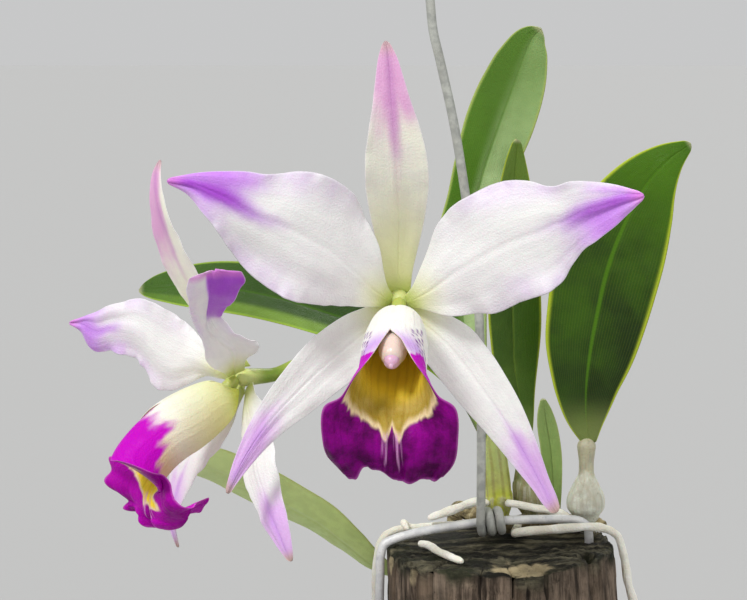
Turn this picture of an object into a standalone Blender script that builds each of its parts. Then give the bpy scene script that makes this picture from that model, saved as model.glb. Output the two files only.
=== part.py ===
"""A cattleya orchid in flower, wired to the sawn top of a weathered log section.

Metres, +Z up. The origin is the middle of the log's sawn base, the two flowers
are on the -Y side, and the wire hanger rises behind them to an open hook.
"""
import math

import bmesh
import bpy
import numpy as np
from mathutils import Euler, Vector

MM = 0.001  # the outlines below are drawn in millimetres

# Driving dimensions, in millimetres
LOG_HEIGHT = 120.0
LOG_RADIUS = 25.9
LOG_COLUMNS = 64
WIRE_RADIUS = 1.05
HOOK_RADIUS = 10.0
COIL_RADIUS = 2.5
HOLE_RADIUS = 1.5
HOLE_DEPTH = 8.0
TEPAL_THICKNESS = 0.9
LEAF_THICKNESS = 1.4
RHIZOME_RADIUS = 2.1
GAP = 0.35
FOOT_RADIUS = 2.2  # of the flower's base, which the sepals and petals spring from

# Each flower's middle, and the turn of its face about the vertical
FLOWER_1 = (-23.7, -45.0, 184.5)
FLOWER_1_TURN = 0.0
FLOWER_2 = (-59.8, -15.0, 163.1)
FLOWER_2_TURN = -60.0

for old in list(bpy.data.objects):
    bpy.data.objects.remove(old, do_unlink=True)

scene = bpy.context.scene
rng = np.random.default_rng(21)


def material(name, colour, roughness, metallic=0.0):
    """A plain Principled material."""
    mat = bpy.data.materials.new(name)
    mat.use_nodes = True
    shader = mat.node_tree.nodes["Principled BSDF"]
    shader.inputs["Base Color"].default_value = (*colour, 1.0)
    shader.inputs["Roughness"].default_value = roughness
    shader.inputs["Metallic"].default_value = metallic
    return mat


def link(name, data, colour, roughness, metallic=0.0, parent=None):
    """An object with its own material, under its flower's empty if it has one."""
    data.materials.append(material(name, colour, roughness, metallic))
    obj = bpy.data.objects.new(name, data)
    scene.collection.objects.link(obj)
    if parent is not None:
        obj.parent = parent
    return obj


def through(xs, ys, x):
    """A smooth curve through the points (xs, ys), read at x."""
    xs, ys = np.asarray(xs, float), np.asarray(ys, float)
    slope = np.gradient(ys, xs)
    i = np.clip(np.searchsorted(xs, x) - 1, 0, len(xs) - 2)
    h = xs[i + 1] - xs[i]
    u = (x - xs[i]) / h
    a = (1 + 2 * u) * (1 - u) ** 2
    b = u * (1 - u) ** 2
    c = u * u * (3 - 2 * u)
    d = u * u * (u - 1)
    return a * ys[i] + b * h * slope[i] + c * ys[i + 1] + d * h * slope[i + 1]


def smooth_route(points, step):
    """A smooth route through the points, with a point about every step."""
    points = np.asarray(points, float)
    lengths = np.linalg.norm(np.diff(points, axis=0), axis=1)
    along = np.concatenate([[0], np.cumsum(lengths)])
    count = max(4, int(round(along[-1] / step)))
    x = np.linspace(0, along[-1], count + 1)
    return np.stack([through(along, points[:, k], x) for k in range(points.shape[1])], axis=1)


def tube_curve(name, route, radii, resolution=2):
    """A capped round tube along the route, in metres."""
    curve = bpy.data.curves.new(name, "CURVE")
    curve.dimensions = "3D"
    curve.bevel_depth = MM
    curve.bevel_resolution = resolution
    curve.resolution_u = 1
    curve.render_resolution_u = 0
    curve.use_fill_caps = True
    spline = curve.splines.new("POLY")
    spline.points.add(len(route) - 1)
    for point, at, radius in zip(spline.points, route, radii):
        point.co = (*(np.asarray(at) * MM), 1.0)
        point.radius = float(radius)
    return curve


def tube(name, route, radii, colour, roughness, metallic=0.0, resolution=2, parent=None):
    """A tube object: one radius for all of it, or one for each point."""
    if np.isscalar(radii):
        radii = [radii] * len(route)
    curve = tube_curve(name, route, radii, resolution)
    return link(name, curve, colour, roughness, metallic, parent)


def tube_mesh(name, route, radii, resolution=2):
    """The same tube as a mesh, so that a Boolean can join it to others."""
    curve = tube_curve(name, route, radii, resolution)
    guide = bpy.data.objects.new(name, curve)
    scene.collection.objects.link(guide)
    bpy.context.view_layer.update()
    graph = bpy.context.evaluated_depsgraph_get()
    mesh = bpy.data.meshes.new_from_object(guide.evaluated_get(graph))
    bpy.data.objects.remove(guide, do_unlink=True)
    mesh.name = name
    return mesh


def joined(name, meshes, colour, roughness):
    """One solid: the first mesh, with the others united to it."""
    obj = link(name, meshes[0], colour, roughness)
    for k, mesh in enumerate(meshes[1:]):
        limb = bpy.data.objects.new(f"{name}_limb_{k + 1}", mesh)
        scene.collection.objects.link(limb)
        limb.hide_render = True
        limb.display_type = "WIRE"
        union = obj.modifiers.new("Union", "BOOLEAN")
        union.operation = "UNION"
        union.solver = "EXACT"
        union.object = limb
    for face in obj.data.polygons:
        face.use_smooth = True
    return obj


def grid_mesh(name, points):
    """A sheet over a grid of points, in metres, with every cell split in two."""
    rows, columns = points.shape[:2]
    mesh = bpy.data.meshes.new(name)
    index = np.arange(rows * columns).reshape(rows, columns)
    a, b = index[:-1, :-1].ravel(), index[1:, :-1].ravel()
    c, d = index[1:, 1:].ravel(), index[:-1, 1:].ravel()
    faces = np.concatenate([np.stack([a, b, c], 1), np.stack([a, c, d], 1)])
    mesh.from_pydata((points.reshape(-1, 3) * MM).tolist(), [], faces.tolist())
    mesh.update()
    return mesh


def thicken(obj, thickness):
    """Give the sheet its thickness, half to each side."""
    solid = obj.modifiers.new("Thickness", "SOLIDIFY")
    solid.thickness = thickness * MM
    solid.offset = 0.0
    solid.use_even_offset = False
    for face in obj.data.polygons:
        face.use_smooth = True


def blade(name, spine, side, outline, fold, wave, thickness, look, parent=None, columns=5, mirror=1):
    """A leaf, petal or sepal along a smooth spine.

    The side is the way across it, one for the whole blade or several spread along it.
    The outline gives (share of the length, offset of the middle, half width). The fold
    turns each half about the spine, in degrees, forward where positive. The wave moves
    the edges to and fro: (height, waves along the length, phase).
    """
    t = np.array([row[0] for row in outline])
    offset = np.array([row[1] for row in outline]) * mirror
    half = np.array([row[2] for row in outline])
    spine = np.asarray(spine, float)
    lengths = np.linalg.norm(np.diff(spine, axis=0), axis=1)
    share = np.concatenate([[0], np.cumsum(lengths)]) / lengths.sum()
    middle = np.stack([through(share, spine[:, k], t) for k in range(3)], axis=1)
    ahead = np.stack([through(share, spine[:, k], np.clip(t + 0.02, 0, 1)) for k in range(3)], axis=1)
    behind = np.stack([through(share, spine[:, k], np.clip(t - 0.02, 0, 1)) for k in range(3)], axis=1)
    along = ahead - behind
    along /= np.linalg.norm(along, axis=1)[:, None]
    sides = np.atleast_2d(np.array(side, float))
    spread = np.linspace(0, 1, len(sides))
    across = np.stack([np.interp(t, spread, sides[:, k]) for k in range(3)], axis=1)
    across -= along * np.sum(along * across, axis=1)[:, None]
    across /= np.linalg.norm(across, axis=1)[:, None]
    normal = np.cross(along, across)
    v = np.linspace(-1, 1, columns)
    folds = np.radians(np.where(v < 0, fold[0], fold[1]))
    height, waves, phase = wave
    ruffle = height * np.sin(2 * math.pi * waves * t[:, None] + phase + 0.9 * v[None, :])
    ruffle *= (v * v)[None, :] * np.sin(math.pi * np.clip(t, 0, 1))[:, None] ** 0.5
    sideways = offset[:, None] + half[:, None] * (v * np.cos(folds))[None, :]
    out = half[:, None] * (np.abs(v) ** 1.4 * np.sin(folds))[None, :] + ruffle
    points = middle[:, None, :] + across[:, None, :] * sideways[:, :, None]
    points = points + normal[:, None, :] * out[:, :, None]
    obj = link(name, grid_mesh(name, points), *look, parent=parent)
    thicken(obj, thickness)
    return obj


# The log: a short section of weathered trunk, split by drying, its base sawn flat
def log_top(x, y):
    """Height of the log's sawn and rotted top, in millimetres."""
    slope = 0.033 * x + 0.01 * y
    swell = 0.3 * np.sin(0.21 * x + 1.0) * np.cos(0.17 * y - 0.4)
    return LOG_HEIGHT + 1.0 + slope + swell


def log_radius(theta, depth):
    """Radius at an angle and a depth below the top, without the cracks."""
    out_of_round = 0.6 * np.cos(theta) + 0.5 * np.cos(2 * theta + 0.6)
    out_of_round = out_of_round + 0.35 * np.cos(3 * theta - 1.0) + 0.25 * np.cos(5 * theta + 2.0)
    flare = 2.4 * (1 - np.exp(-depth / 12.0)) * np.clip(np.cos(theta), 0, 1)
    return LOG_RADIUS + out_of_round + flare + 0.006 * depth


def build_log():
    """A ring of columns from base to rim, closed by a fan below and rings on top."""
    theta = np.linspace(0, 2 * math.pi, LOG_COLUMNS, endpoint=False)
    crack = np.zeros(LOG_COLUMNS)
    for column in (3, 10, 17, 22, 29, 35, 41, 46, 49, 52, 57, 61):
        crack[column] = rng.uniform(0.7, 1.5)
    grain = 0.35 * np.sin(9 * theta + 0.5) + 0.25 * np.sin(14 * theta)
    shares = [0.0, 0.02, 0.12, 0.26, 0.4, 0.54, 0.68, 0.8, 0.9, 0.96, 0.992]
    rings = []
    for share in shares:
        z = share * LOG_HEIGHT
        radius = log_radius(theta, LOG_HEIGHT - z) + 0.5 * grain
        radius = radius - crack * (0.35 + 0.65 * math.sin(math.pi * min(1.0, 0.25 + share)))
        radius = radius - (0.6 if share == 0.0 else 0.0)
        x, y = radius * np.cos(theta), radius * np.sin(theta)
        lift = np.full(LOG_COLUMNS, z)
        if share > 0.9:
            lift = z + (log_top(x, y) - LOG_HEIGHT) * (share - 0.9) / 0.1 - 0.3 * crack * (share > 0.97)
        rings.append(np.stack([x, y, lift], 1))
    for inset, drop in ((0.965, 0.25), (0.9, 0.0), (0.7, 0.0), (0.45, 0.0), (0.2, 0.0)):
        radius = (log_radius(theta, 0.0) + 0.3 * grain) * inset
        radius = radius - crack * (0.6 if inset > 0.95 else 0.2)
        x, y = radius * np.cos(theta), radius * np.sin(theta)
        rings.append(np.stack([x, y, log_top(x, y) - drop - 0.25 * crack], 1))
    mesh = bpy.data.meshes.new("log")
    shape = bmesh.new()
    rows = [[shape.verts.new(Vector(p) * MM) for p in ring] for ring in rings]
    n = LOG_COLUMNS
    for lower, upper in zip(rows[:-1], rows[1:]):
        for k in range(n):
            m = (k + 1) % n
            shape.faces.new((lower[k], lower[m], upper[m]))
            shape.faces.new((lower[k], upper[m], upper[k]))
    shape.faces.new(list(reversed(rows[0])))
    middle = shape.verts.new(Vector((0, 0, float(log_top(0.0, 0.0)))) * MM)
    for k in range(n):
        shape.faces.new((rows[-1][k], rows[-1][(k + 1) % n], middle))
    shape.to_mesh(mesh)
    shape.free()
    log = link("log", mesh, (0.16, 0.12, 0.09), 0.9)
    for face in log.data.polygons:
        face.use_smooth = True
    return log


def drill(log, name, at, direction):
    """A blind hole for a wire end, from a point outside the log."""
    length = HOLE_DEPTH + 4.0
    hole = bmesh.new()
    bmesh.ops.create_cone(hole, cap_ends=True, segments=12, radius1=HOLE_RADIUS * MM,
                          radius2=HOLE_RADIUS * MM, depth=length * MM)
    mesh = bpy.data.meshes.new(name)
    hole.to_mesh(mesh)
    hole.free()
    cutter = bpy.data.objects.new(name, mesh)
    scene.collection.objects.link(cutter)
    way = Vector(direction).normalized()
    cutter.rotation_euler = way.to_track_quat("Z", "Y").to_euler()
    cutter.location = (Vector(at) + way * (HOLE_DEPTH / 2)) * MM
    cutter.hide_render = True
    cutter.display_type = "WIRE"
    cut = log.modifiers.new(name, "BOOLEAN")
    cut.operation = "DIFFERENCE"
    cut.solver = "EXACT"
    cut.object = cutter


log = build_log()
LEFT_HOLE_Z = 76.0
LEFT_HOLE = (-25.7, -2.0, LEFT_HOLE_Z)
RIGHT_HOLE = (21.7, 1.2, 121.8)
drill(log, "left_hole", LEFT_HOLE, (1, 0, 0))
drill(log, "right_hole", RIGHT_HOLE, (0, 0, -1))

# The wires: one over the plant's foot, down both ends into drilled holes, and one
# that winds round it and rises to a hook
GALVANISED = ((0.42, 0.43, 0.44), 0.42, 0.85)
tie_points = [
    (-19.4, -2.0, LEFT_HOLE_Z), (-24.0, -2.0, LEFT_HOLE_Z), (-26.2, -2.0, LEFT_HOLE_Z + 0.1),
    (-27.7, -2.0, LEFT_HOLE_Z + 1.4), (-28.0, -2.0, LEFT_HOLE_Z + 4.0), (-27.9, -1.9, 90.0),
    (-27.7, -1.8, 105.0), (-27.5, -1.7, 114.0), (-27.3, -1.6, 119.2), (-26.5, -1.5, 121.5),
    (-24.4, -1.3, 122.6), (-20.0, -0.8, 123.8), (-15.5, -0.2, 124.6), (-8.7, 0.7, 125.5),
    (-3.9, 1.2, 126.1), (1.2, 1.2, 126.5), (6.0, 1.2, 126.7), (11.0, 1.2, 126.8), (16.5, 1.2, 126.8),
    (19.4, 1.2, 126.4), (21.2, 1.2, 125.2), (21.7, 1.2, 123.0), (21.7, 1.2, 119.0),
    (21.7, 1.2, 114.4),
]
tube("wire_tie", smooth_route(tie_points, 3.0), WIRE_RADIUS, *GALVANISED)

COIL_START = np.array([-3.9, 1.2, 126.1])
COIL_END = np.array([1.2, 1.2, 126.5])
turns = np.linspace(0, 2.2, 34)
angle = 2 * math.pi * turns
coil = COIL_START + (COIL_END - COIL_START) * (turns / 2.2)[:, None]
coil[:, 1] -= COIL_RADIUS * np.cos(angle)
coil[:, 2] -= COIL_RADIUS * np.sin(angle)
hook_middle = np.array([-8.2, -4.0, 271.0])
bend = np.radians(np.linspace(186, -28, 25))
hook = np.stack([
    hook_middle[0] + HOOK_RADIUS * np.cos(bend),
    np.full(25, hook_middle[1]),
    hook_middle[2] + HOOK_RADIUS * np.sin(bend),
], axis=1)
stem_points = [
    hook[0], (-17.9, -4.0, 263.5), (-17.2, -4.0, 256.0), (-16.3, -4.0, 247.7), (-15.6, -4.0, 241.0),
    (-14.0, -4.0, 234.2), (-10.5, -4.0, 218.4), (-8.6, -4.0, 207.1), (-5.0, -3.0, 179.4),
    (-4.1, -2.0, 155.8), (-3.9, -1.4, 138.0), (-3.9, -1.3, 130.0), coil[0],
]
tip_of_hook = hook[-1] + np.array([[0.7, 0.0, -2.0], [2.2, 0.0, -3.6]])
hanger_route = np.concatenate([
    tip_of_hook[::-1], hook[::-1], smooth_route(stem_points, 7.0)[1:-1], coil,
])
tube("wire_hanger", hanger_route, WIRE_RADIUS, *GALVANISED)

# The creeping rhizome over the log's top, and the pseudobulbs that stand on it
rhizome_plan = [
    (-9.2, 29.6, 115.2), (-9.0, 29.8, 118.6), (-8.2, 28.6, 122.6), (-7.0, 25.4, None),
    (-4.5, 20.5, None), (-1.0, 15.6, None), (0.2, 11.6, None), (1.8, 8.9, None), (4.8, 9.0, None),
    (8.3, 10.5, None), (12.0, 12.4, None), (15.0, 12.2, None), (18.4, 9.6, None), (21.6, 7.5, None),
    (25.6, 6.6, None),
]
rhizome_points = []
for x, y, z in rhizome_plan:
    if z is None:
        z = float(log_top(x, y)) + RHIZOME_RADIUS + GAP
    rhizome_points.append((x, y, z))
rhizome_route = smooth_route(rhizome_points, 2.6)
ridges = RHIZOME_RADIUS - 0.18 + 0.18 * np.cos(np.arange(len(rhizome_route)) * 2.1)
ridges[0], ridges[-1] = 1.7, 0.9
ridges[-2] = 1.7
tube("rhizome", rhizome_route, ridges, (0.30, 0.24, 0.13), 0.75)


def pseudobulb(name, foot, top, profile, look):
    """A swollen stem: (share of the height, radius) from foot to top."""
    route = np.array([np.array(foot) + (np.array(top) - np.array(foot)) * share for share, _ in profile])
    tube(name, route, [radius for _, radius in profile], *look, resolution=3)


BULB_FOOT = 2 * RHIZOME_RADIUS + 2 * GAP


def standing_on_rhizome(x, y):
    """Height of a pseudobulb's foot on the rhizome."""
    return float(log_top(x, y)) + BULB_FOOT


pseudobulb("pseudobulb_1", (1.4, 8.6, standing_on_rhizome(1.4, 8.6)), (-0.6, 8.1, 144.4),
           [(0.0, 1.9), (0.12, 2.8), (0.35, 3.1), (0.65, 3.0), (0.88, 2.8), (1.0, 2.6)],
           ((0.42, 0.50, 0.12), 0.5))
pseudobulb("pseudobulb_2", (8.6, 10.6, standing_on_rhizome(8.6, 10.6)), (7.4, 10.6, 140.6),
           [(0.0, 2.0), (0.15, 3.3), (0.4, 3.6), (0.7, 3.0), (0.9, 2.1), (1.0, 1.7)],
           ((0.34, 0.36, 0.20), 0.6))
pseudobulb("pseudobulb_3", (21.6, 7.6, standing_on_rhizome(21.6, 7.6)), (21.6, 7.5, 143.0),
           [(0.0, 2.3), (0.1, 3.6), (0.25, 4.6), (0.42, 4.0), (0.6, 2.7), (0.8, 2.0), (1.0, 1.9)],
           ((0.50, 0.53, 0.42), 0.6))
pseudobulb("pseudobulb_4", (-0.8, 15.9, standing_on_rhizome(-0.8, 15.9)), (-1.0, 16.2, 145.0),
           [(0.0, 1.8), (0.15, 2.6), (0.45, 2.9), (0.75, 2.4), (1.0, 1.7)],
           ((0.36, 0.42, 0.18), 0.6))
pseudobulb("pseudobulb_5", (-10.3, 30.1, 113.4), (-20.6, 31.6, 106.4),
           [(0.0, 1.6), (0.15, 2.7), (0.45, 3.1), (0.75, 2.6), (1.0, 1.8)],
           ((0.34, 0.40, 0.18), 0.6))

# The leaves: each on its own pseudobulb, seen from the front with their upper face
LEAF_GREEN = ((0.10, 0.24, 0.05), 0.45)


def leaf(name, spine, side, outline, fold, look=LEAF_GREEN):
    """A thick keeled leaf."""
    blade(name, spine, side, outline, fold, (0.0, 0.0, 0.0), LEAF_THICKNESS, look, columns=7)


leaf("leaf_a", [
    (-0.9, 16.3, 145.9), (-2.3, 17.0, 150.6), (-5.2, 18.0, 158.2), (-7.2, 19.0, 169.3),
    (-7.7, 20.0, 181.4), (-7.0, 20.4, 192.3), (-4.6, 20.4, 200.5), (-2.3, 20.2, 209.1),
    (1.6, 19.6, 220.9), (4.3, 19.0, 228.5), (6.5, 18.0, 234.9), (8.9, 17.0, 240.0),
    (10.5, 16.4, 241.6),
], (-1, 0, 0.12), [
    (0.0, 0.0, 1.7), (0.06, 0.0, 2.8), (0.14, 0.0, 4.2), (0.25, 0.0, 5.6), (0.37, 0.0, 6.3),
    (0.48, 0.0, 6.6), (0.56, 0.0, 6.9), (0.65, 0.0, 7.5), (0.77, 0.0, 8.3), (0.85, 0.0, 7.7),
    (0.92, 0.0, 6.1), (0.97, 0.0, 3.8), (1.0, 0.0, 1.4),
], (7, 7))
leaf("leaf_b", [
    (7.3, 10.7, 141.5), (6.8, 11.2, 148.4), (5.5, 11.8, 154.6), (4.3, 12.0, 161.9),
    (4.0, 12.2, 170.2), (3.7, 12.6, 179.8), (3.7, 13.0, 189.4), (3.9, 13.4, 199.0),
    (4.1, 13.8, 206.6), (4.4, 14.0, 211.8), (4.8, 14.0, 215.6),
], (-1, -0.5, 0), [
    (0.0, 0.0, 1.6), (0.08, 0.0, 2.4), (0.17, 0.0, 4.2), (0.27, 0.0, 6.2), (0.38, 0.0, 7.2),
    (0.51, 0.0, 7.4), (0.64, 0.0, 6.9), (0.77, 0.0, 5.7), (0.87, 0.0, 4.1), (0.95, 0.0, 2.4),
    (1.0, 0.0, 1.0),
], (13, 13))
leaf("leaf_c", [
    (22.2, 7.5, 143.9), (21.4, 7.5, 149.2), (21.2, 7.4, 156.4), (22.1, 7.2, 166.0),
    (23.3, 7.0, 175.6), (24.9, 6.8, 184.0), (27.4, 6.6, 192.3), (30.8, 6.2, 199.9),
    (34.9, 5.8, 206.5), (39.8, 5.4, 211.6), (44.6, 5.0, 215.0),
], (-1, 0, 0.1), [
    (0.0, 0.0, 1.7), (0.08, 0.0, 5.0), (0.17, 0.0, 7.8), (0.29, 0.0, 10.8), (0.41, 0.0, 12.4),
    (0.51, 0.0, 13.1), (0.62, 0.0, 12.8), (0.73, 0.0, 11.0), (0.83, 0.0, 8.0), (0.92, 0.0, 4.4),
    (1.0, 0.0, 1.0),
], (8, 8))
leaf("leaf_d", [
    (-2.7, 7.6, 145.6), (-5.8, 6.6, 151.6), (-10.6, 5.8, 158.9), (-16.9, 5.6, 165.8),
    (-26.4, 5.6, 171.0), (-38.1, 6.2, 174.2), (-48.7, 7.2, 177.4), (-60.6, 8.4, 179.9),
    (-70.1, 9.4, 180.5), (-78.4, 10.0, 180.4), (-84.6, 10.0, 180.0),
], (0, -0.80, -0.60), [
    (0.0, 0.0, 1.6), (0.07, 0.0, 2.4), (0.16, 0.0, 4.4), (0.26, 0.0, 6.4), (0.38, 0.0, 7.8),
    (0.51, 0.0, 8.8), (0.63, 0.0, 9.2), (0.75, 0.0, 9.1), (0.85, 0.0, 7.9), (0.92, 0.0, 5.9),
    (0.97, 0.0, 3.6), (1.0, 0.0, 1.2),
], (9, 9))
leaf("leaf_e", [
    (-22.2, 31.6, 105.8), (-24.8, 30.6, 106.4), (-28.2, 28.6, 108.6), (-35.4, 25.5, 115.0),
    (-43.0, 22.5, 121.6), (-49.5, 20.5, 125.7), (-56.2, 18.0, 130.1), (-61.4, 16.0, 133.3),
    (-67.8, 14.0, 136.6), (-74.3, 12.0, 138.8), (-82.4, 9.5, 140.5),
], (0, 0.72, -0.70), [
    (0.0, 0.0, 1.7), (0.06, 0.0, 2.6), (0.14, 0.0, 4.6), (0.26, 0.0, 6.6), (0.38, 0.0, 8.0),
    (0.5, 0.0, 8.6), (0.62, 0.0, 8.6), (0.73, 0.0, 8.0), (0.83, 0.0, 6.8), (0.91, 0.0, 5.0),
    (0.965, 0.0, 3.0), (1.0, 0.0, 1.2),
], (-8, -8), look=((0.22, 0.34, 0.12), 0.5))
leaf("leaf_young", [
    (14.6, 12.9, standing_on_rhizome(14.6, 12.9)), (14.2, 13.4, 133.0), (13.4, 13.8, 142.0),
    (12.2, 13.8, 149.0), (11.6, 13.6, 153.4),
], (-1, -0.1, 0), [
    (0.0, 0.0, 1.5), (0.15, 0.0, 2.0), (0.35, 0.0, 2.5), (0.6, 0.0, 2.7), (0.8, 0.0, 2.4),
    (0.92, 0.0, 1.6), (1.0, 0.0, 0.6),
], (20, 20), look=((0.20, 0.32, 0.10), 0.5))

# The flower stalk: one stem from the first pseudobulb that parts into two pedicels,
# each swelling into the ovary behind its flower
STALK_GREEN = ((0.30, 0.42, 0.07), 0.45)
peduncle = smooth_route([
    (0.5, 8.5, 145.0), (-0.5, 8.2, 148.6), (-2.2, 7.6, 152.4), (-4.6, 6.4, 157.0), (-7.6, 4.4, 161.6),
    (-11.2, 1.6, 165.8), (-15.0, -1.6, 169.0), (-17.9, -3.5, 170.6),
], 2.6)
pedicel_1 = smooth_route([
    (-16.4, -2.6, 169.8), (-18.8, -6.0, 172.6), (-21.6, -13.0, 177.5), (-23.2, -21.0, 181.6),
    (-23.7, -30.0, 184.0), (-23.7, -38.0, 184.5), (-23.7, -43.0, 184.5), (-23.7, -45.0, 184.5),
], 2.8)
turn_2 = math.radians(FLOWER_2_TURN)
face_2 = np.array([math.sin(turn_2), -math.cos(turn_2), 0.0])
pedicel_2 = smooth_route([
    (-15.6, -2.0, 169.4), (-20.0, -4.6, 170.0), (-27.5, -5.6, 168.8), (-36.8, -6.4, 167.4),
    (-45.4, -8.0, 165.4),
    tuple(np.array(FLOWER_2) - face_2 * 9.0), tuple(np.array(FLOWER_2) - face_2 * 4.0), FLOWER_2,
], 2.8)


def swelling(route, thin):
    """Radii that widen into the flower's base at the end."""
    left = np.linspace(len(route) - 1, 0, len(route))
    return thin + (FOOT_RADIUS - thin) * np.exp(-left / 1.6)


stalk = joined("flower_stalk", [
    tube_mesh("peduncle", peduncle, np.full(len(peduncle), 1.5)),
    tube_mesh("pedicel_1", pedicel_1, swelling(pedicel_1, 1.55)),
    tube_mesh("pedicel_2", pedicel_2, swelling(pedicel_2, 1.55)),
], *STALK_GREEN)

SHEATH = [
    (0.0, 0.0, 1.0), (0.2, 0.0, 1.9), (0.5, 0.0, 2.2), (0.75, 0.0, 1.7), (0.92, 0.0, 1.0), (1.0, 0.0, 0.4),
]
blade("flower_sheath", [
    (0.7, 6.1, 145.2), (-0.2, 5.6, 148.6), (-1.8, 4.9, 152.4), (-3.6, 4.0, 155.8),
], (1, 0, 0), SHEATH, (24, 24), (0.0, 0.0, 0.0), 0.7, ((0.36, 0.44, 0.18), 0.5))

# The flowers. An outline is measured along the tepal, from its foot to its tip
PETAL_LEFT = [
    (0.0, 0.0, 1.6), (0.05, 0.0, 3.1), (0.1, 0.3, 5.4), (0.18, 1.2, 8.6), (0.26, 1.6, 10.6),
    (0.34, 2.3, 12.0), (0.41, 2.4, 12.6), (0.49, 2.2, 12.5), (0.58, 1.8, 10.9), (0.65, 1.5, 8.9),
    (0.71, 1.6, 7.2), (0.76, 2.0, 6.0), (0.83, 1.8, 4.3), (0.91, 1.4, 2.4), (1.0, 0.0, 0.6),
]
PETAL_RIGHT = [
    (0.0, 0.0, 1.6), (0.05, -0.3, 3.1), (0.1, -0.4, 5.5), (0.17, 0.2, 8.2), (0.25, 0.8, 10.4),
    (0.34, 1.1, 12.0), (0.43, 1.7, 12.3), (0.51, 1.8, 12.2), (0.58, 1.6, 11.4), (0.64, 1.3, 9.4),
    (0.7, 1.2, 7.3), (0.78, 1.6, 6.2), (0.86, 1.3, 4.6), (0.93, 0.9, 2.9), (1.0, 0.2, 0.7),
]
DORSAL = [
    (0.0, 0.0, 1.5), (0.08, 0.0, 2.3), (0.17, 0.0, 3.5), (0.27, 0.0, 4.8), (0.38, 0.0, 5.9),
    (0.48, 0.0, 6.4), (0.57, 0.0, 6.4), (0.68, 0.0, 5.4), (0.78, 0.0, 4.0), (0.87, 0.0, 2.9),
    (0.95, 0.0, 1.8), (1.0, 0.2, 0.6),
]
LATERAL_LEFT = [
    (0.0, 0.0, 1.3), (0.08, 0.3, 3.7), (0.15, 0.7, 5.4), (0.25, 1.6, 6.2), (0.35, 2.4, 6.2),
    (0.45, 2.9, 5.6), (0.54, 3.2, 5.0), (0.63, 3.4, 4.1), (0.72, 3.2, 3.2), (0.81, 2.6, 2.4),
    (0.9, 1.6, 1.6), (0.96, 0.7, 1.0), (1.0, 0.0, 0.6),
]
LATERAL_RIGHT = [
    (0.0, 0.0, 1.3), (0.08, 0.8, 3.8), (0.15, 1.7, 5.2), (0.22, 2.5, 5.9), (0.32, 2.9, 6.0),
    (0.45, 2.9, 5.6), (0.57, 2.8, 4.9), (0.68, 2.3, 4.0), (0.78, 1.6, 3.1), (0.87, 0.9, 2.2),
    (0.95, 0.3, 1.7), (1.0, 0.0, 1.0),
]
PETAL_PLAIN = [
    (0.0, 0.0, 1.7), (0.07, 0.0, 3.0), (0.14, 0.0, 5.6), (0.22, 0.0, 8.2), (0.31, 0.0, 10.4),
    (0.4, 0.0, 11.8), (0.5, 0.0, 12.3), (0.58, 0.0, 11.8), (0.66, 0.0, 10.2), (0.73, 0.0, 8.4),
    (0.81, 0.0, 6.3), (0.88, 0.0, 4.3), (0.95, 0.0, 2.2), (1.0, 0.0, 0.6),
]
PETAL_CREASED = [
    (0.0, 0.0, 1.7), (0.08, 0.0, 4.0), (0.16, 0.0, 7.4), (0.24, 0.0, 9.6), (0.32, 0.0, 9.8),
    (0.42, 0.0, 9.0), (0.52, 0.0, 8.2), (0.62, 0.0, 7.8), (0.7, 0.0, 7.6), (0.78, 0.0, 6.6),
    (0.86, 0.0, 4.8), (0.94, 0.0, 2.4), (1.0, 0.0, 0.6),
]
LATERAL_PLAIN = [
    (0.0, 0.0, 1.3), (0.08, 0.0, 3.2), (0.16, 0.0, 4.8), (0.26, 0.0, 5.8), (0.38, 0.0, 6.1),
    (0.5, 0.0, 5.8), (0.6, 0.0, 5.3), (0.7, 0.0, 4.5), (0.8, 0.0, 3.6), (0.89, 0.0, 2.5),
    (0.96, 0.0, 1.4), (1.0, 0.0, 0.6),
]
ARCH = [(0.0, 0.0), (0.1, 1.7), (0.25, 3.6), (0.5, 4.2), (0.75, 2.9), (1.0, 0.0)]
HIGH_ARCH = [(0.0, 0.0), (0.1, 0.0), (0.25, 0.9), (0.38, 2.9), (0.55, 4.9), (0.75, 4.2), (1.0, 0.0)]
FLAT = [(0.0, 0.0), (0.3, 0.8), (0.6, 1.0), (1.0, 0.0)]
WHITE = ((0.80, 0.76, 0.80), 0.55)


def arched(base, tip, side, bends):
    """A spine from base to tip that rises off the straight line by the bends."""
    base, tip = np.array(base, float), np.array(tip, float)
    axis = (tip - base) / np.linalg.norm(tip - base)
    normal = np.cross(axis, np.array(side, float))
    normal /= np.linalg.norm(normal)
    t = np.linspace(0, 1, 9)
    lift = through([row[0] for row in bends], [row[1] for row in bends], t)
    return base + (tip - base) * t[:, None] + normal * lift[:, None]


def spread(direction, reach, lean, layer, bends):
    """The spine and side of a tepal that opens from the flower's base.

    The direction is seen from the front, the lean is the tip's way forward, and the
    layer is the foot's depth: the petals stand in front of the sepals.
    """
    a = math.radians(direction)
    start = FOOT_RADIUS + GAP
    foot = (start * math.cos(a), layer, start * math.sin(a))
    tip = (reach * math.cos(a), layer - lean, reach * math.sin(a))
    side = (-math.sin(a), 0.0, math.cos(a))
    return arched(foot, tip, side, bends), side


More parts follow.
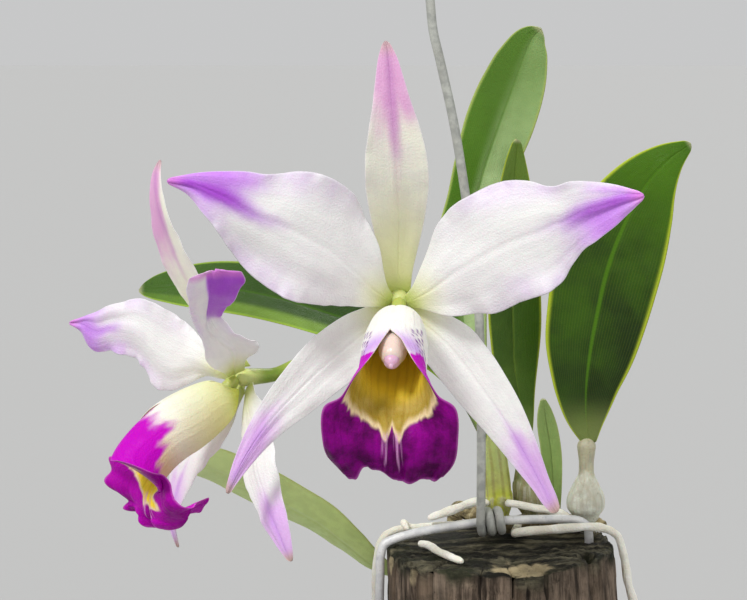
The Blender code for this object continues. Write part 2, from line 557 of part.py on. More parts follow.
# name: spine and side, outline, mirror, fold, wave, columns
TEPALS_1 = {
    "dorsal_sepal": (*spread(92.9, 53.7, 17.2, 2.4, HIGH_ARCH), DORSAL, 1, (7, 7), (0.3, 1.5, 0.0), 5),
    "petal_left": (*spread(150.7, 53.3, 17.0, 0.75, ARCH), PETAL_LEFT, -1, (-4, -4), (0.9, 2.6, 0.4), 7),
    "petal_right": (*spread(25.2, 53.8, 17.0, 0.75, ARCH), PETAL_RIGHT, 1, (-4, -4), (0.9, 2.4, 1.4), 7),
    "lateral_sepal_left": (
        *spread(228.7, 55.2, 0.5, 2.1, FLAT), LATERAL_LEFT, -1, (6, 6), (0.3, 1.0, 0.0), 5),
    "lateral_sepal_right": (
        *spread(-53.6, 56.7, 0.5, 2.1, FLAT), LATERAL_RIGHT, 1, (6, 6), (0.3, 1.0, 2.0), 5),
}
# The second flower is half turned away, its near petal creased and curled at the tip
TEPALS_2 = {
    "dorsal_sepal": ([
        (-0.1, 2.4, 2.6), (-0.9, -0.6, 7.2), (-1.4, -5.2, 13.0), (-1.3, -9.3, 19.1),
        (-1.1, -13.0, 25.5), (-0.6, -16.0, 31.9), (-0.1, -18.1, 37.8), (0.0, -19.0, 43.1),
        (-0.3, -18.6, 47.0), (-0.4, -17.8, 49.4),
    ], (-0.97, -0.12, 0.0), DORSAL, 1, (6, 6), (0.3, 1.5, 1.0), 5),
    "petal_left": ([
        (-2.5, 0.75, 0.4), (-6.9, -4.4, 0.9), (-11.9, -8.2, 1.8), (-16.9, -11.3, 3.2),
        (-22.0, -14.1, 4.6), (-27.7, -17.9, 5.6), (-32.4, -21.5, 7.0), (-36.6, -25.4, 10.0),
    ], (-0.1, 0.0, -1.0), PETAL_PLAIN, 1, (-6, -68), (0.7, 2.4, 2.0), 7),
    "petal_right": ([
        (2.2, 0.75, 1.4), (7.7, -4.7, 7.7), (13.0, -9.4, 13.1), (18.3, -14.3, 18.4),
        (22.2, -17.5, 22.4), (26.3, -18.5, 25.0), (30.0, -17.0, 26.1), (33.1, -14.7, 26.3),
    ], [
        (-0.53, 0.0, 0.85), (-0.5, -0.5, 0.8), (-0.5, -0.75, 0.5), (-0.4, -0.6, 0.8), (0.0, 0.0, 1.0),
    ], PETAL_CREASED, 1, (-52, -66), (0.7, 2.6, 0.0), 7),
    "lateral_sepal_left": ([
        (-1.5, 2.1, -2.2), (-6.0, 0.4, -8.2), (-11.5, -1.6, -14.1), (-16.0, -3.7, -20.1),
        (-19.1, -5.2, -26.4), (-20.9, -6.2, -32.6), (-21.2, -6.7, -37.4), (-19.7, -6.1, -42.4),
    ], (0.87, 0.0, -0.5), LATERAL_PLAIN, -1, (6, 6), (0.3, 1.0, 1.0), 5),
    "lateral_sepal_right": ([
        (1.5, 2.1, -2.1), (4.7, 0.6, -5.4), (8.9, -0.5, -9.2), (12.8, -1.8, -13.0), (16.6, -3.2, -17.3),
        (19.9, -3.5, -21.5), (23.5, -3.4, -26.6), (25.9, -2.2, -31.5), (27.3, -0.8, -36.0),
    ], [(0.81, 0.05, 0.59), (0.7, 0.35, 0.5)], LATERAL_PLAIN, 1, (-4, -4), (0.3, 1.0, 0.0), 5),
}

# The lip: forward and down from the column's foot as a tube, then a spreading lobe.
# forward, height of the keel, tilt of the section, half width, half turn, sweep
LIP = [
    (0.5, -3.0, 0.0, 1.6, 30.0, 0.0),
    (1.0, -5.6, 4.0, 3.6, 70.0, 0.0),
    (1.7, -8.2, 8.0, 6.3, 100.0, 0.0),
    (3.6, -10.4, 17.0, 14.0, 160.0, 0.0),
    (6.6, -12.7, 22.0, 18.4, 173.0, 0.0),
    (10.2, -15.1, 25.0, 19.8, 174.0, 0.0),
    (13.2, -16.7, 28.0, 18.6, 164.0, 0.0),
    (15.8, -18.6, 31.0, 15.8, 138.0, 0.0),
    (18.0, -20.8, 37.0, 13.5, 102.0, 0.3),
    (19.8, -23.0, 46.0, 12.3, 74.0, 1.4),
    (20.9, -25.6, 58.0, 14.4, 50.0, 4.2),
    (20.9, -28.8, 76.0, 14.2, 22.0, 4.4),
    (19.6, -32.0, 94.0, 12.4, -6.0, 3.2),
    (17.9, -34.7, 108.0, 9.2, -14.0, 1.4),
]
COLUMN = [
    (1.1, 0.2, 1.6), (2.5, -0.6, 1.65), (4.4, -2.9, 1.8), (8.0, -5.4, 2.25), (13.0, -7.5, 2.6),
    (17.2, -8.6, 2.6), (18.6, -8.9, 2.0),
]
LIP_COLUMNS = 13
LIP_LEAN = -0.085


def lip(name, parent):
    """The lip's sheet: arcs of a circle about a keel that runs forward and down."""
    rows = []
    v = np.linspace(-1, 1, LIP_COLUMNS)
    keel = np.array([(row[0], row[1]) for row in LIP])
    along = np.gradient(keel, axis=0)
    along /= np.linalg.norm(along, axis=1)[:, None]
    for (forward, height, tilt, half, turn, sweep), way in zip(LIP, along):
        tilt, turn = math.radians(tilt), math.radians(turn)
        if abs(turn) < 0.02:
            turn = 0.02
        radius = half / turn
        aside = radius * np.sin(v * turn)
        up = radius * (1 - np.cos(v * turn))
        back = sweep * v * v
        ruffle = 0.22 * sweep * np.sin(7.5 * v + forward) * v * v
        f = forward + (up + ruffle) * math.sin(tilt) - back * way[0]
        z = height + (up + ruffle) * math.cos(tilt) - back * way[1]
        rows.append(np.stack([aside + LIP_LEAN * f, -f, z], axis=1))
    obj = link(name, grid_mesh(name, np.array(rows)), (0.42, 0.02, 0.36), 0.5, parent=parent)
    thicken(obj, TEPAL_THICKNESS)


def flower(name, middle, turn, tepals):
    """Three sepals, two petals, the lip, and the column with its anther cap."""
    root = bpy.data.objects.new(name, None)
    scene.collection.objects.link(root)
    root.location = Vector(middle) * MM
    root.rotation_euler = Euler((0.0, 0.0, math.radians(turn)))
    for part, (spine, side, outline, mirror, fold, wave, columns) in tepals.items():
        blade(f"{name}_{part}", spine, side, outline, fold, wave, TEPAL_THICKNESS, WHITE,
              parent=root, columns=columns, mirror=mirror)
    lip(f"{name}_lip", root)
    column = smooth_route([(LIP_LEAN * f, -f, z, r) for f, z, r in COLUMN], 2.0)
    tube(f"{name}_column", column[:, :3], column[:, 3], (0.78, 0.68, 0.62), 0.5, parent=root)
    cap = [(19.1, -9.0, 1.4), (19.7, -9.2, 1.8), (20.6, -9.5, 1.8), (21.3, -9.8, 1.2), (21.6, -9.9, 0.6)]
    cap_route = np.array([(LIP_LEAN * f, -f, z) for f, z, _ in cap])
    tube(f"{name}_anther_cap", cap_route, [r for _, _, r in cap], (0.72, 0.44, 0.55), 0.45, parent=root)


flower("flower_1", FLOWER_1, FLOWER_1_TURN, TEPALS_1)
flower("flower_2", FLOWER_2, FLOWER_2_TURN, TEPALS_2)

# The aerial roots: pale, blunt and a little wavy, over and down the log
ROOT_PALE = ((0.66, 0.62, 0.48), 0.8)


def root(name, points, radius, tip_radius=0.55):
    """One root, narrowing at its blunt tip."""
    route = smooth_route(points, 2.4)
    radii = np.full(len(route), radius) + 0.06 * np.sin(1.7 * np.arange(len(route)))
    radii[-1] = tip_radius
    radii[-2] = 0.86 * radius
    radii[0] = 0.8 * radius
    return route, radii


def single_root(name, points, radius):
    """A root without a branch."""
    tube(name, *root(name, points, radius), *ROOT_PALE)


single_root("root_1", [
    (2.9, 4.5, 129.9), (5.6, 3.7, 129.7), (9.0, 3.5, 129.0), (12.7, 3.6, 128.4), (15.6, 3.7, 127.4),
    (17.2, 4.0, 125.8), (17.8, 4.2, 123.8),
], 0.95)
single_root("root_2", [
    (5.4, 6.2, 124.2), (4.6, 3.6, 123.5), (4.2, 0.6, 123.5), (4.4, -2.0, 124.3), (6.4, -3.2, 124.9),
    (10.0, -3.6, 125.3), (16.8, -3.4, 125.8), (21.4, -2.7, 125.9), (24.6, -1.7, 125.4),
    (27.9, -0.6, 123.6), (29.8, 0.0, 118.6), (31.0, 0.3, 112.0), (32.7, 0.5, 105.6),
    (33.4, 0.8, 98.0), (32.6, 1.4, 90.0), (31.6, 2.2, 83.0),
], 1.0)
left_main = root("root_3", [
    (-1.8, 9.4, 124.6), (-4.6, 7.4, 124.6), (-9.0, 5.2, 124.6), (-14.5, 4.0, 124.5),
    (-19.2, 3.7, 124.2), (-23.2, 3.4, 123.8), (-25.8, 3.0, 122.8), (-27.6, 2.4, 120.2),
    (-28.4, 2.0, 115.6), (-28.6, 1.8, 108.0), (-28.8, 2.2, 99.0), (-28.6, 3.0, 91.0),
], 0.9)
left_branch = root("root_3_branch", [
    (-20.8, 3.9, 124.5), (-21.8, 2.4, 125.7), (-21.9, 0.9, 125.9), (-21.2, -0.1, 125.0),
], 0.8)
single_root("root_4", [
    (-17.9, -3.0, 122.0), (-16.0, -6.0, 122.2), (-14.4, -9.6, 121.9), (-12.7, -13.0, 121.9),
    (-11.2, -16.2, 122.0), (-9.3, -19.0, 121.9),
], 0.9)
joined("root_3", [
    tube_mesh("root_3_main", *left_main),
    tube_mesh("root_3_branch", *left_branch),
], *ROOT_PALE)
single_root("root_5", [
    (-2.3, 6.3, 129.6), (-4.4, 5.4, 130.1), (-6.6, 4.6, 129.7), (-9.8, 3.6, 128.7),
    (-13.0, 2.6, 127.8), (-15.6, 2.0, 127.0),
], 1.05)
single_root("root_6", [
    (9.3, 14.4, 124.0), (10.8, 17.8, 123.7), (13.0, 21.6, 123.4), (14.6, 24.8, 122.9),
    (15.8, 26.4, 120.6), (16.0, 26.6, 114.0), (15.4, 27.0, 104.0), (14.0, 27.4, 94.0),
    (13.4, 27.6, 86.0),
], 0.95)
single_root("root_7", [
    (-1.9, 21.8, 123.2), (0.3, 23.6, 123.1), (1.7, 26.2, 122.9), (2.3, 27.9, 120.4),
    (2.3, 28.0, 113.0), (1.2, 27.9, 103.0),
], 0.9)
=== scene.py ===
"""A cattleya orchid in flower on a weathered log section, with its wires.

Metres, +Z up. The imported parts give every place; the finer skins below stand for
them. Shapes are drawn in millimetres and brought to metres as their mesh is made.
"""
import math

import bpy
import numpy as np
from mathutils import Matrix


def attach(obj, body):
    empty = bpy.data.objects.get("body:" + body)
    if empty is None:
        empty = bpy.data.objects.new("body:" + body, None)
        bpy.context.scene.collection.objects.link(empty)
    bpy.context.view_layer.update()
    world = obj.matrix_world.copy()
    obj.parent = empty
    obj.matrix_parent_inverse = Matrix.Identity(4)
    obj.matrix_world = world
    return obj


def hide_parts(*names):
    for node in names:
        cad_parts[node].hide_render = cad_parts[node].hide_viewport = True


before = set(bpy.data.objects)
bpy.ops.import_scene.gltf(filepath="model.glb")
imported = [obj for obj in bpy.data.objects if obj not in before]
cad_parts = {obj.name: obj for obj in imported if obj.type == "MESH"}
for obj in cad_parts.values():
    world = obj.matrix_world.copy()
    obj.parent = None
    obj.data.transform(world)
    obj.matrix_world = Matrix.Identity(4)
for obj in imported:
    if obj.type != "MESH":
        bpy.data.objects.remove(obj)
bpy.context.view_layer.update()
scene = bpy.context.scene

# The log: a short section of hardwood trunk that has lost its bark. Drying has
# split its side, and its sawn top has rotted dark and mossy, with the front of
# the rim broken down to lighter wood.
MM = 0.001
LOG_HEIGHT = 120.0
LOG_RADIUS = 25.9
LOG_COLUMNS = 384
LOG_SIDE_ROWS = 104
LOG_TOP_ROWS = 62
RIM_ROUNDING = 1.1
CRACK_ANGLES = np.array([3, 10, 17, 22, 29, 35, 41, 46, 49, 52, 57, 61]) * math.tau / 64
# Depth, width and lowest point of these cracks, and of the finer ones between them
MAIN_CRACK = ((0.8, 1.9), (0.009, 0.021), (-30, 50))
FINE_CRACK = ((0.5, 1.3), (0.009, 0.016), (0, 90))
FINE_CRACKS = 44
PITH = (3.0, 5.0)
RING_SPACINGS = (1.9, 0.83)
LEFT_HOLE_HEIGHT = 76.0
RIGHT_HOLE = (21.7, 1.2)
HOLE_RADIUS = 1.5
LEFT_HOLE_DIP = 2.2
RIGHT_HOLE_DIP = 2.0
BROKEN_RIM = (4.5, -21.0)
BROKEN_DIP = 1.1
DARK_NOTCH = (19.5, -13.5)
NOTCH_DIP = 4.0


def fade(low, high, x):
    """A smooth step from 0 at low to 1 at high."""
    share = np.clip((np.asarray(x, float) - low) / (high - low), 0, 1)
    return share * share * (3 - 2 * share)


def bump_at(x, middle, width):
    """A bell of height 1 round the middle."""
    return np.exp(-((x - middle) / width) ** 2)


def rough(x, y, cells, seed):
    """Random relief from -1 to 1: drawn heights on a lattice, blended smoothly, repeating after the cells."""
    heights = np.random.default_rng(seed).uniform(-1, 1, cells)
    x, y = np.broadcast_arrays(np.asarray(x, float), np.asarray(y, float))
    i, j = np.floor(x).astype(int), np.floor(y).astype(int)
    a, b = fade(0, 1, x - i), fade(0, 1, y - j)
    i, j, k, m = i % cells[0], j % cells[1], (i + 1) % cells[0], (j + 1) % cells[1]
    near = heights[i, j] * (1 - a) + heights[k, j] * a
    far = heights[i, m] * (1 - a) + heights[k, m] * a
    return near * (1 - b) + far * b


def skin(name, rings, marks=None, along=None, across=None, sewn=False):
    """A closed mesh over rings of points, drawn in millimetres.

    The rings are an array (rows, columns, 3). Quads join each ring to the next, and a
    fan to its middle closes each end, but a sewn last ring is stitched front to back.
    Marks are masks on the same grid, kept as attributes. Along and across, if given,
    become the UV map.
    """
    rows, columns = rings.shape[:2]
    index = np.arange(rows * columns).reshape(rows, columns)
    beside = np.roll(index, -1, axis=1)
    quads = np.stack([index[:-1], index[1:], beside[1:], beside[:-1]], axis=2).reshape(-1, 4)
    first, last = rows * columns, rows * columns + 1
    start = np.stack([index[0], beside[0], np.full(columns, first)], axis=1)
    end = np.stack([beside[-1], index[-1], np.full(columns, last)], axis=1)
    if sewn:
        ring, half = index[-1], columns // 2
        j = np.arange(1, half - 1)
        end = np.stack([ring[j + 1], ring[j], ring[columns - j], ring[columns - j - 1]], axis=1)
        quads = np.concatenate([quads, end])
        end = np.array([(ring[1], ring[0], ring[-1]), (ring[half], ring[half - 1], ring[half + 1])])

    def with_poles(grid):
        flat = np.broadcast_to(grid, (rows, columns, *grid.shape[2:])).reshape(rows * columns, -1)
        poles = [flat[:columns].mean(0), flat[-columns:].mean(0)]
        return np.concatenate([flat, poles[:1] if sewn else poles])

    mesh = bpy.data.meshes.new(name)
    mesh.from_pydata(with_poles(rings) * MM, [], quads.tolist() + start.tolist() + end.tolist())
    for label, grid in (marks or {}).items():
        values = with_poles(grid.astype(float)).ravel()
        mesh.attributes.new(label, "FLOAT", "POINT").data.foreach_set("value", values)
    if along is not None:
        corners = np.zeros(len(mesh.loops), int)
        mesh.loops.foreach_get("vertex_index", corners)
        uv = np.concatenate([with_poles(along), with_poles(across)], axis=1)
        mesh.uv_layers.new(name="UVMap").data.foreach_set("uv", uv[corners].ravel())
    mesh.shade_smooth()
    piece = bpy.data.objects.new(name, mesh)
    scene.collection.objects.link(piece)
    return piece


def stand_for(piece, node, material):
    """Give the piece its finish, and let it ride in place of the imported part."""
    piece.data.materials.clear()
    piece.data.materials.append(material)
    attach(piece, "root")
    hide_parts(node)


def srgb(red, green, blue):
    """A colour as seen, 0 to 255, brought to the linear values that a shader takes."""
    seen = np.array([red, green, blue]) / 255
    linear = np.where(seen < 0.04045, seen / 12.92, ((seen + 0.055) / 1.055) ** 2.4)
    return (*(float(c) for c in linear), 1.0)


def put(tree, kind, feeds=None, **settings):
    """A node with its settings; each feed is a value or another node's socket."""
    node = tree.nodes.new(kind)
    for label, value in settings.items():
        setattr(node, label, value)
    for socket, value in (feeds or {}).items():
        if isinstance(value, bpy.types.NodeSocket):
            tree.links.new(value, node.inputs[socket])
        else:
            node.inputs[socket].default_value = value
    return node


def finish(name, roughness, metallic=0.0, **fixed):
    """A new material and its node tree, with the fixed values set on its shader."""
    material = bpy.data.materials.new(name)
    material.use_nodes = True
    shader = material.node_tree.nodes["Principled BSDF"]
    shader.inputs["Roughness"].default_value = roughness
    shader.inputs["Metallic"].default_value = metallic
    for label, value in fixed.items():
        shader.inputs[label.replace("_", " ")].default_value = value
    return material, material.node_tree


def feed(material, **sockets):
    """The material, once the sockets are linked to its shader's inputs."""
    tree = material.node_tree
    for label, socket in sockets.items():
        tree.links.new(socket, tree.nodes["Principled BSDF"].inputs[label.replace("_", " ")])
    return material


def mixed(tree, share, first, second):
    """Two colours mixed by a share."""
    return put(tree, "ShaderNodeMix", {0: share, 6: first, 7: second}, data_type="RGBA").outputs[2]


def ranged(tree, value, low, high, to_low=0.0, to_high=1.0):
    """A value stretched from low..high to to_low..to_high, smoothly."""
    return put(tree, "ShaderNodeMapRange", {
        "Value": value, "From Min": low, "From Max": high, "To Min": to_low, "To Max": to_high,
    }, interpolation_type="SMOOTHSTEP").outputs["Result"]


def worked(tree, operation, first, second=0.0):
    """One sum on two values."""
    return put(tree, "ShaderNodeMath", {0: first, 1: second}, operation=operation).outputs[0]


def times(tree, first, second):
    """Two values multiplied."""
    return worked(tree, "MULTIPLY", first, second)


def plus(tree, first, second):
    """Two values added."""
    return worked(tree, "ADD", first, second)


def mark(tree, label):
    """A mask that the mesh carries."""
    return put(tree, "ShaderNodeAttribute", attribute_name=label).outputs["Fac"]


def layered(tree, base, *coats):
    """Colours laid over a base in turn; a coat is a mask or a mark's name, its strength and its colour."""
    for where, strength, colour in coats:
        where = mark(tree, where) if isinstance(where, str) else where
        base = mixed(tree, times(tree, where, strength), base, colour)
    return base


def own_place(tree):
    """The place of a point in the object's own space."""
    return put(tree, "ShaderNodeTexCoord").outputs["Object"]


def noise_at(tree, place, scale, detail, roughness=0.5):
    """Noise read at a place."""
    return put(tree, "ShaderNodeTexNoise", {
        "Vector": place, "Scale": scale, "Detail": detail, "Roughness": roughness,
    }).outputs["Fac"]


def noise(tree, scale, detail=3.0, stretch=(1.0, 1.0, 1.0), roughness=0.55):
    """Noise in the object's own space, which the stretch squeezes along each axis."""
    turned = put(tree, "ShaderNodeMapping", {"Vector": own_place(tree), "Scale": stretch}).outputs[0]
    return noise_at(tree, turned, scale, detail, roughness)


def relief(tree, height, distance):
    """A normal from a height, with its full depth in metres."""
    node = put(tree, "ShaderNodeBump", {"Height": height, "Distance": distance, "Strength": 1.0})
    return node.outputs["Normal"]


def shared(name, takes, gives):
    """A node group with these sockets, and its two ends."""
    tree = bpy.data.node_groups.new(name, "ShaderNodeTree")
    for label, kind, value in takes:
        tree.interface.new_socket(label, in_out="INPUT", socket_type=kind).default_value = value
    for label, kind in gives:
        tree.interface.new_socket(label, in_out="OUTPUT", socket_type=kind)
    return tree, tree.nodes.new("NodeGroupInput").outputs, tree.nodes.new("NodeGroupOutput").inputs


def weathering_group():
    """Dirt and age: a second colour in soft patches and small specks over the first."""
    tree, takes, gives = shared("Weathering", [
        ("Color", "NodeSocketColor", (0.5, 0.5, 0.5, 1.0)),
        ("Dirt", "NodeSocketColor", (0.1, 0.08, 0.06, 1.0)),
        ("Scale", "NodeSocketFloat", 120.0), ("Amount", "NodeSocketFloat", 0.5),
    ], [("Color", "NodeSocketColor"), ("Mask", "NodeSocketFloat")])
    place = own_place(tree)
    patches = noise_at(tree, place, takes["Scale"], 5.0, 0.6)
    specks = noise_at(tree, place, times(tree, takes["Scale"], 7.0), 2.0)
    both = plus(tree, ranged(tree, patches, 0.42, 0.66), ranged(tree, specks, 0.60, 0.78))
    held = worked(tree, "MINIMUM", times(tree, both, takes["Amount"]), 1.0)
    tree.links.new(mixed(tree, held, takes["Color"], takes["Dirt"]), gives["Color"])
    tree.links.new(held, gives["Mask"])
    return tree


def weathered(tree, colour, dirt, scale, amount):
    """A colour with weathering over it, and the weathering's mask."""
    node = put(tree, "ShaderNodeGroup", {
        "Color": colour, "Dirt": dirt, "Scale": scale, "Amount": amount,
    }, node_tree=WEATHERING)
    return node.outputs["Color"], node.outputs["Mask"]


WEATHERING = weathering_group()


def log_top(x, y):
    """Height of the sawn top: a slight slope and swell."""
    return LOG_HEIGHT + 1.0 + 0.033 * x + 0.01 * y + 0.3 * np.sin(0.21 * x + 1.0) * np.cos(0.17 * y - 0.4)


def log_radius(theta, depth):
    """Radius at an angle and a depth below the top: out of round, with a flare to the right."""
    out_of_round = 0.6 * np.cos(theta) + 0.5 * np.cos(2 * theta + 0.6)
    out_of_round = out_of_round + 0.35 * np.cos(3 * theta - 1.0) + 0.25 * np.cos(5 * theta + 2.0)
    flare = 2.4 * (1 - np.exp(-depth / 12.0)) * np.clip(np.cos(theta), 0, 1)
    return LOG_RADIUS + out_of_round + flare + 0.006 * depth


def crack_depth(theta, z):
    """Depth of the drying cracks: each wanders about its angle and runs part of the way down."""
    rng = np.random.default_rng(21)
    total = np.zeros(np.broadcast(theta, z).shape)
    angles = np.concatenate([CRACK_ANGLES, rng.uniform(0, math.tau, FINE_CRACKS)])
    for number, angle in enumerate(angles):
        main = number < len(CRACK_ANGLES)
        depth, width, low = (rng.uniform(*limits) for limits in (MAIN_CRACK if main else FINE_CRACK))
        high = LOG_HEIGHT + 10 if main else low + rng.uniform(20, 60)
        phase = rng.uniform(0, 6.28)
        wander = angle + 0.022 * np.sin(z / 11 + phase) + 0.008 * np.sin(z / 3.1 + 2 * phase)
        wander = wander + 0.006 * np.sin(z / 1.3 + 3 * phase)
        aside = (theta - wander + math.pi) % math.tau - math.pi
        reach = fade(low - 6, low + 6, z) * (1 - fade(high - 12, high, z))
        total = np.maximum(total, depth * reach * bump_at(aside, 0, width))
    return total


def build_log():
    """The log's rings: up the side, round the rim, and in over the top to its middle.

    Side: radius = the round's radius + broad swell + long fibres - cracks - chips at the rim.
    Top: height = the sawn top + growth rings about an off-centre pith + rot pits.
    """
    theta = -np.linspace(0, math.tau, LOG_COLUMNS, endpoint=False)[None, :]
    turn = theta / math.tau
    s = np.linspace(0, 1, LOG_SIDE_ROWS)[:, None]
    z = (LOG_HEIGHT - 1.2) * (1 - (1 - s) ** 1.5)
    cracks = crack_depth(theta, z)
    fibres = 0.20 * rough(turn * 170, z / 17, (170, 16), 3) + 0.10 * rough(turn * 220, z / 5, (220, 30), 4)
    swell = 0.5 * rough(turn * 9, z / 34, (9, 8), 2) + 0.3 * rough(turn * 22, z / 21, (22, 8), 5)
    chips = np.clip(rough(turn * 46, z / 3.1, (46, 60), 6), 0.1, 1) - 0.1
    chips = chips * fade(LOG_HEIGHT - 12, LOG_HEIGHT - 1, z) * 1.5
    foot = 0.7 * (1 - fade(0, 0.8, z))
    radius = log_radius(theta, LOG_HEIGHT - z) + swell + fibres - cracks - chips - foot
    hole = np.hypot((np.abs(turn) - 0.5) * math.tau * LOG_RADIUS + 2.0, z - LEFT_HOLE_HEIGHT)
    radius = radius - LEFT_HOLE_DIP * np.exp(-(hole / HOLE_RADIUS) ** 4)
    x, y = radius * np.cos(theta), radius * np.sin(theta)
    lift = (log_top(x, y) - LOG_HEIGHT) * fade(LOG_HEIGHT - 16, LOG_HEIGHT - 1, z)
    side = np.stack([x, y, z + lift], axis=2)

    over_rim = 1 - 0.05 * np.linspace(0.02, 1, 12) ** 1.5
    share = np.concatenate([over_rim, np.linspace(0.945, 0.012, LOG_TOP_ROWS)])[:, None]
    x, y = side[-1:, :, 0] * share, side[-1:, :, 1] * share
    out = np.hypot(x, y)
    drop = RIM_ROUNDING * (1 - np.sqrt(np.clip(1 - ((share - 0.955) / 0.05).clip(0, 1) ** 2, 0, 1)))
    pith = np.hypot(x - PITH[0], (y - PITH[1]) * 1.08) + 0.9 * rough(x / 9 + 9, y / 9 + 9, (40, 40), 7)
    rings = sum(
        height * np.sin(math.tau * pith / spacing) for height, spacing in zip((0.16, 0.08), RING_SPACINGS)
    )
    rot = 0.42 * rough(x / 2.6 + 30, y / 2.6 + 30, (60, 60), 8)
    rot = rot + 0.22 * rough(x / 1.1 + 60, y / 1.1 + 60, (130, 130), 9)
    quiet = 1 - 0.75 * fade(-9, 2, y) * (1 - fade(19, 24, out))
    splits = 0.5 * crack_depth(theta, np.full_like(share, LOG_HEIGHT - 2)) * fade(8, 24, out)
    splinter = bump_at(x, BROKEN_RIM[0], 6.0) * bump_at(y, BROKEN_RIM[1], 4.8)
    notch = np.exp(-(np.hypot((x - DARK_NOTCH[0]) / 1.7, (y - DARK_NOTCH[1]) / 3.0)) ** 4)
    socket = np.exp(-(np.hypot(x - RIGHT_HOLE[0], y - RIGHT_HOLE[1]) / HOLE_RADIUS) ** 4)
    height = log_top(x, y) - drop + (rings + rot) * quiet - splits
    height = height - BROKEN_DIP * splinter - NOTCH_DIP * notch - RIGHT_HOLE_DIP * socket
    top = np.stack([x, y, height], axis=2)

    char = bump_at(x, -12.0, 7.0) * fade(-15, -20, y) * fade(-0.5, 0.4, rough(x / 2.2, y / 2.2, (40, 40), 14))
    wavy = z + 3.2 * rough(turn * 40, z / 8, (40, 20), 11)
    torn = fade(0.5, 0.9, rough(turn * 30, z / 9, (30, 20), 13)) * fade(LOG_HEIGHT - 20, LOG_HEIGHT - 3, z)
    fresh = 1.7 * splinter + 0.35 * rough(x / 1.6, y / 1.6, (50, 50), 12) - 0.2
    side_marks = (fade(LOG_HEIGHT - 4.5, LOG_HEIGHT + 1, wavy), (cracks + 1.2 * chips) / 1.3, 0.5 * torn)
    top_marks = (np.ones_like(x), splits / 0.8 + notch + socket + char, fresh)
    marks = {
        label: np.clip(np.concatenate(side_and_top), 0, 1)
        for label, *side_and_top in zip(("top", "crack", "broken"), side_marks, top_marks)
    }
    return skin("weathered_log", np.concatenate([side, top]), marks)


def log_finish():
    """Grey-brown wood with long fibres; a black, mossy top; tan where it is freshly broken."""
    material, tree = finish("log_wood", 0.9, Specular_IOR_Level=0.25)
    fibres = noise(tree, 640, 8.0, (1.0, 1.0, 0.09), 0.72)
    streaks = noise(tree, 120, 4.0, (1.0, 1.0, 0.10))
    patches = noise(tree, 45, 4.0)
    side = mixed(tree, ranged(tree, fibres, 0.36, 0.66), srgb(54, 44, 35), srgb(148, 129, 111))
    side = mixed(tree, ranged(tree, streaks, 0.46, 0.68, 0.0, 0.75), side, srgb(110, 92, 74))
    side = mixed(tree, ranged(tree, patches, 0.52, 0.72, 0.0, 0.5), side, srgb(150, 134, 116))
    grain = noise(tree, 330, 5.0, (0.25, 1.0, 1.0), 0.65)
    top = mixed(tree, ranged(tree, grain, 0.42, 0.72), srgb(30, 29, 22), srgb(130, 124, 100))
    moss = noise(tree, 110, 5.0)
    top = mixed(tree, ranged(tree, moss, 0.50, 0.64, 0.0, 0.7), top, srgb(44, 48, 28))
    whole = mixed(tree, mark(tree, "top"), side, top)
    fresh = plus(tree, mark(tree, "broken"), times(tree, grain, 0.9))
    whole = mixed(tree, ranged(tree, fresh, 0.55, 1.25, 0.0, 0.9), whole, srgb(206, 188, 148))
    whole = mixed(tree, ranged(tree, mark(tree, "crack"), 0.50, 1.0, 0.0, 0.82), whole, srgb(34, 28, 22))
    colour, mask = weathered(tree, whole, srgb(30, 26, 20), 160.0, 0.38)
    height = plus(tree, fibres, times(tree, grain, 0.6))
    return feed(material, Base_Color=colour, Normal=relief(tree, height, 0.0009),
                Roughness=ranged(tree, mask, 0.0, 1.0, 0.82, 0.97))


stand_for(build_log(), "log", log_finish())

# The wires: hot-dipped galvanised wire of 2.1 mm. One is bent over the plant's foot
# and pushed into drilled holes; the other winds round it and rises to an open hook.
WIRE_RADIUS = 1.05
WIRE_SIDES = 18
WIRE_STEP = 0.7
HOOK_RADIUS = 10.0
HOOK_MIDDLE = np.array([-8.2, -4.0, 271.0])
COIL_RADIUS = 2.5
COIL_TURNS = 2.2
COIL_START = np.array([-3.9, 1.2, 126.1])
COIL_END = np.array([1.2, 1.2, 126.5])
TIE_ROUTE = [
    (-19.4, -2.0, 76.0), (-24.0, -2.0, 76.0), (-26.2, -2.0, 76.1), (-27.7, -2.0, 77.4),
    (-28.0, -2.0, 80.0), (-27.9, -1.9, 90.0), (-27.7, -1.8, 105.0), (-27.5, -1.7, 114.0),
    (-27.3, -1.6, 119.2), (-26.5, -1.5, 121.5), (-24.4, -1.3, 122.6), (-20.0, -0.8, 123.8),
    (-15.5, -0.2, 124.6), (-8.7, 0.7, 125.5), (-3.9, 1.2, 126.1), (1.2, 1.2, 126.5),
    (6.0, 1.2, 126.7), (11.0, 1.2, 126.8), (16.5, 1.2, 126.8), (19.4, 1.2, 126.4),
    (21.2, 1.2, 125.2), (21.7, 1.2, 123.0), (21.7, 1.2, 119.0), (21.7, 1.2, 114.4),
]
STEM_ROUTE = [
    (-17.9, -4.0, 263.5), (-17.2, -4.0, 256.0), (-16.3, -4.0, 247.7), (-15.6, -4.0, 241.0),
    (-14.0, -4.0, 234.2), (-10.5, -4.0, 218.4), (-8.6, -4.0, 207.1), (-5.0, -3.0, 179.4),
    (-4.1, -2.0, 155.8), (-3.9, -1.4, 138.0), (-3.9, -1.3, 130.0),
]
# The rings of a tube's rounded end, as angles up its dome
DOME = np.radians([22, 42, 58, 72, 83])


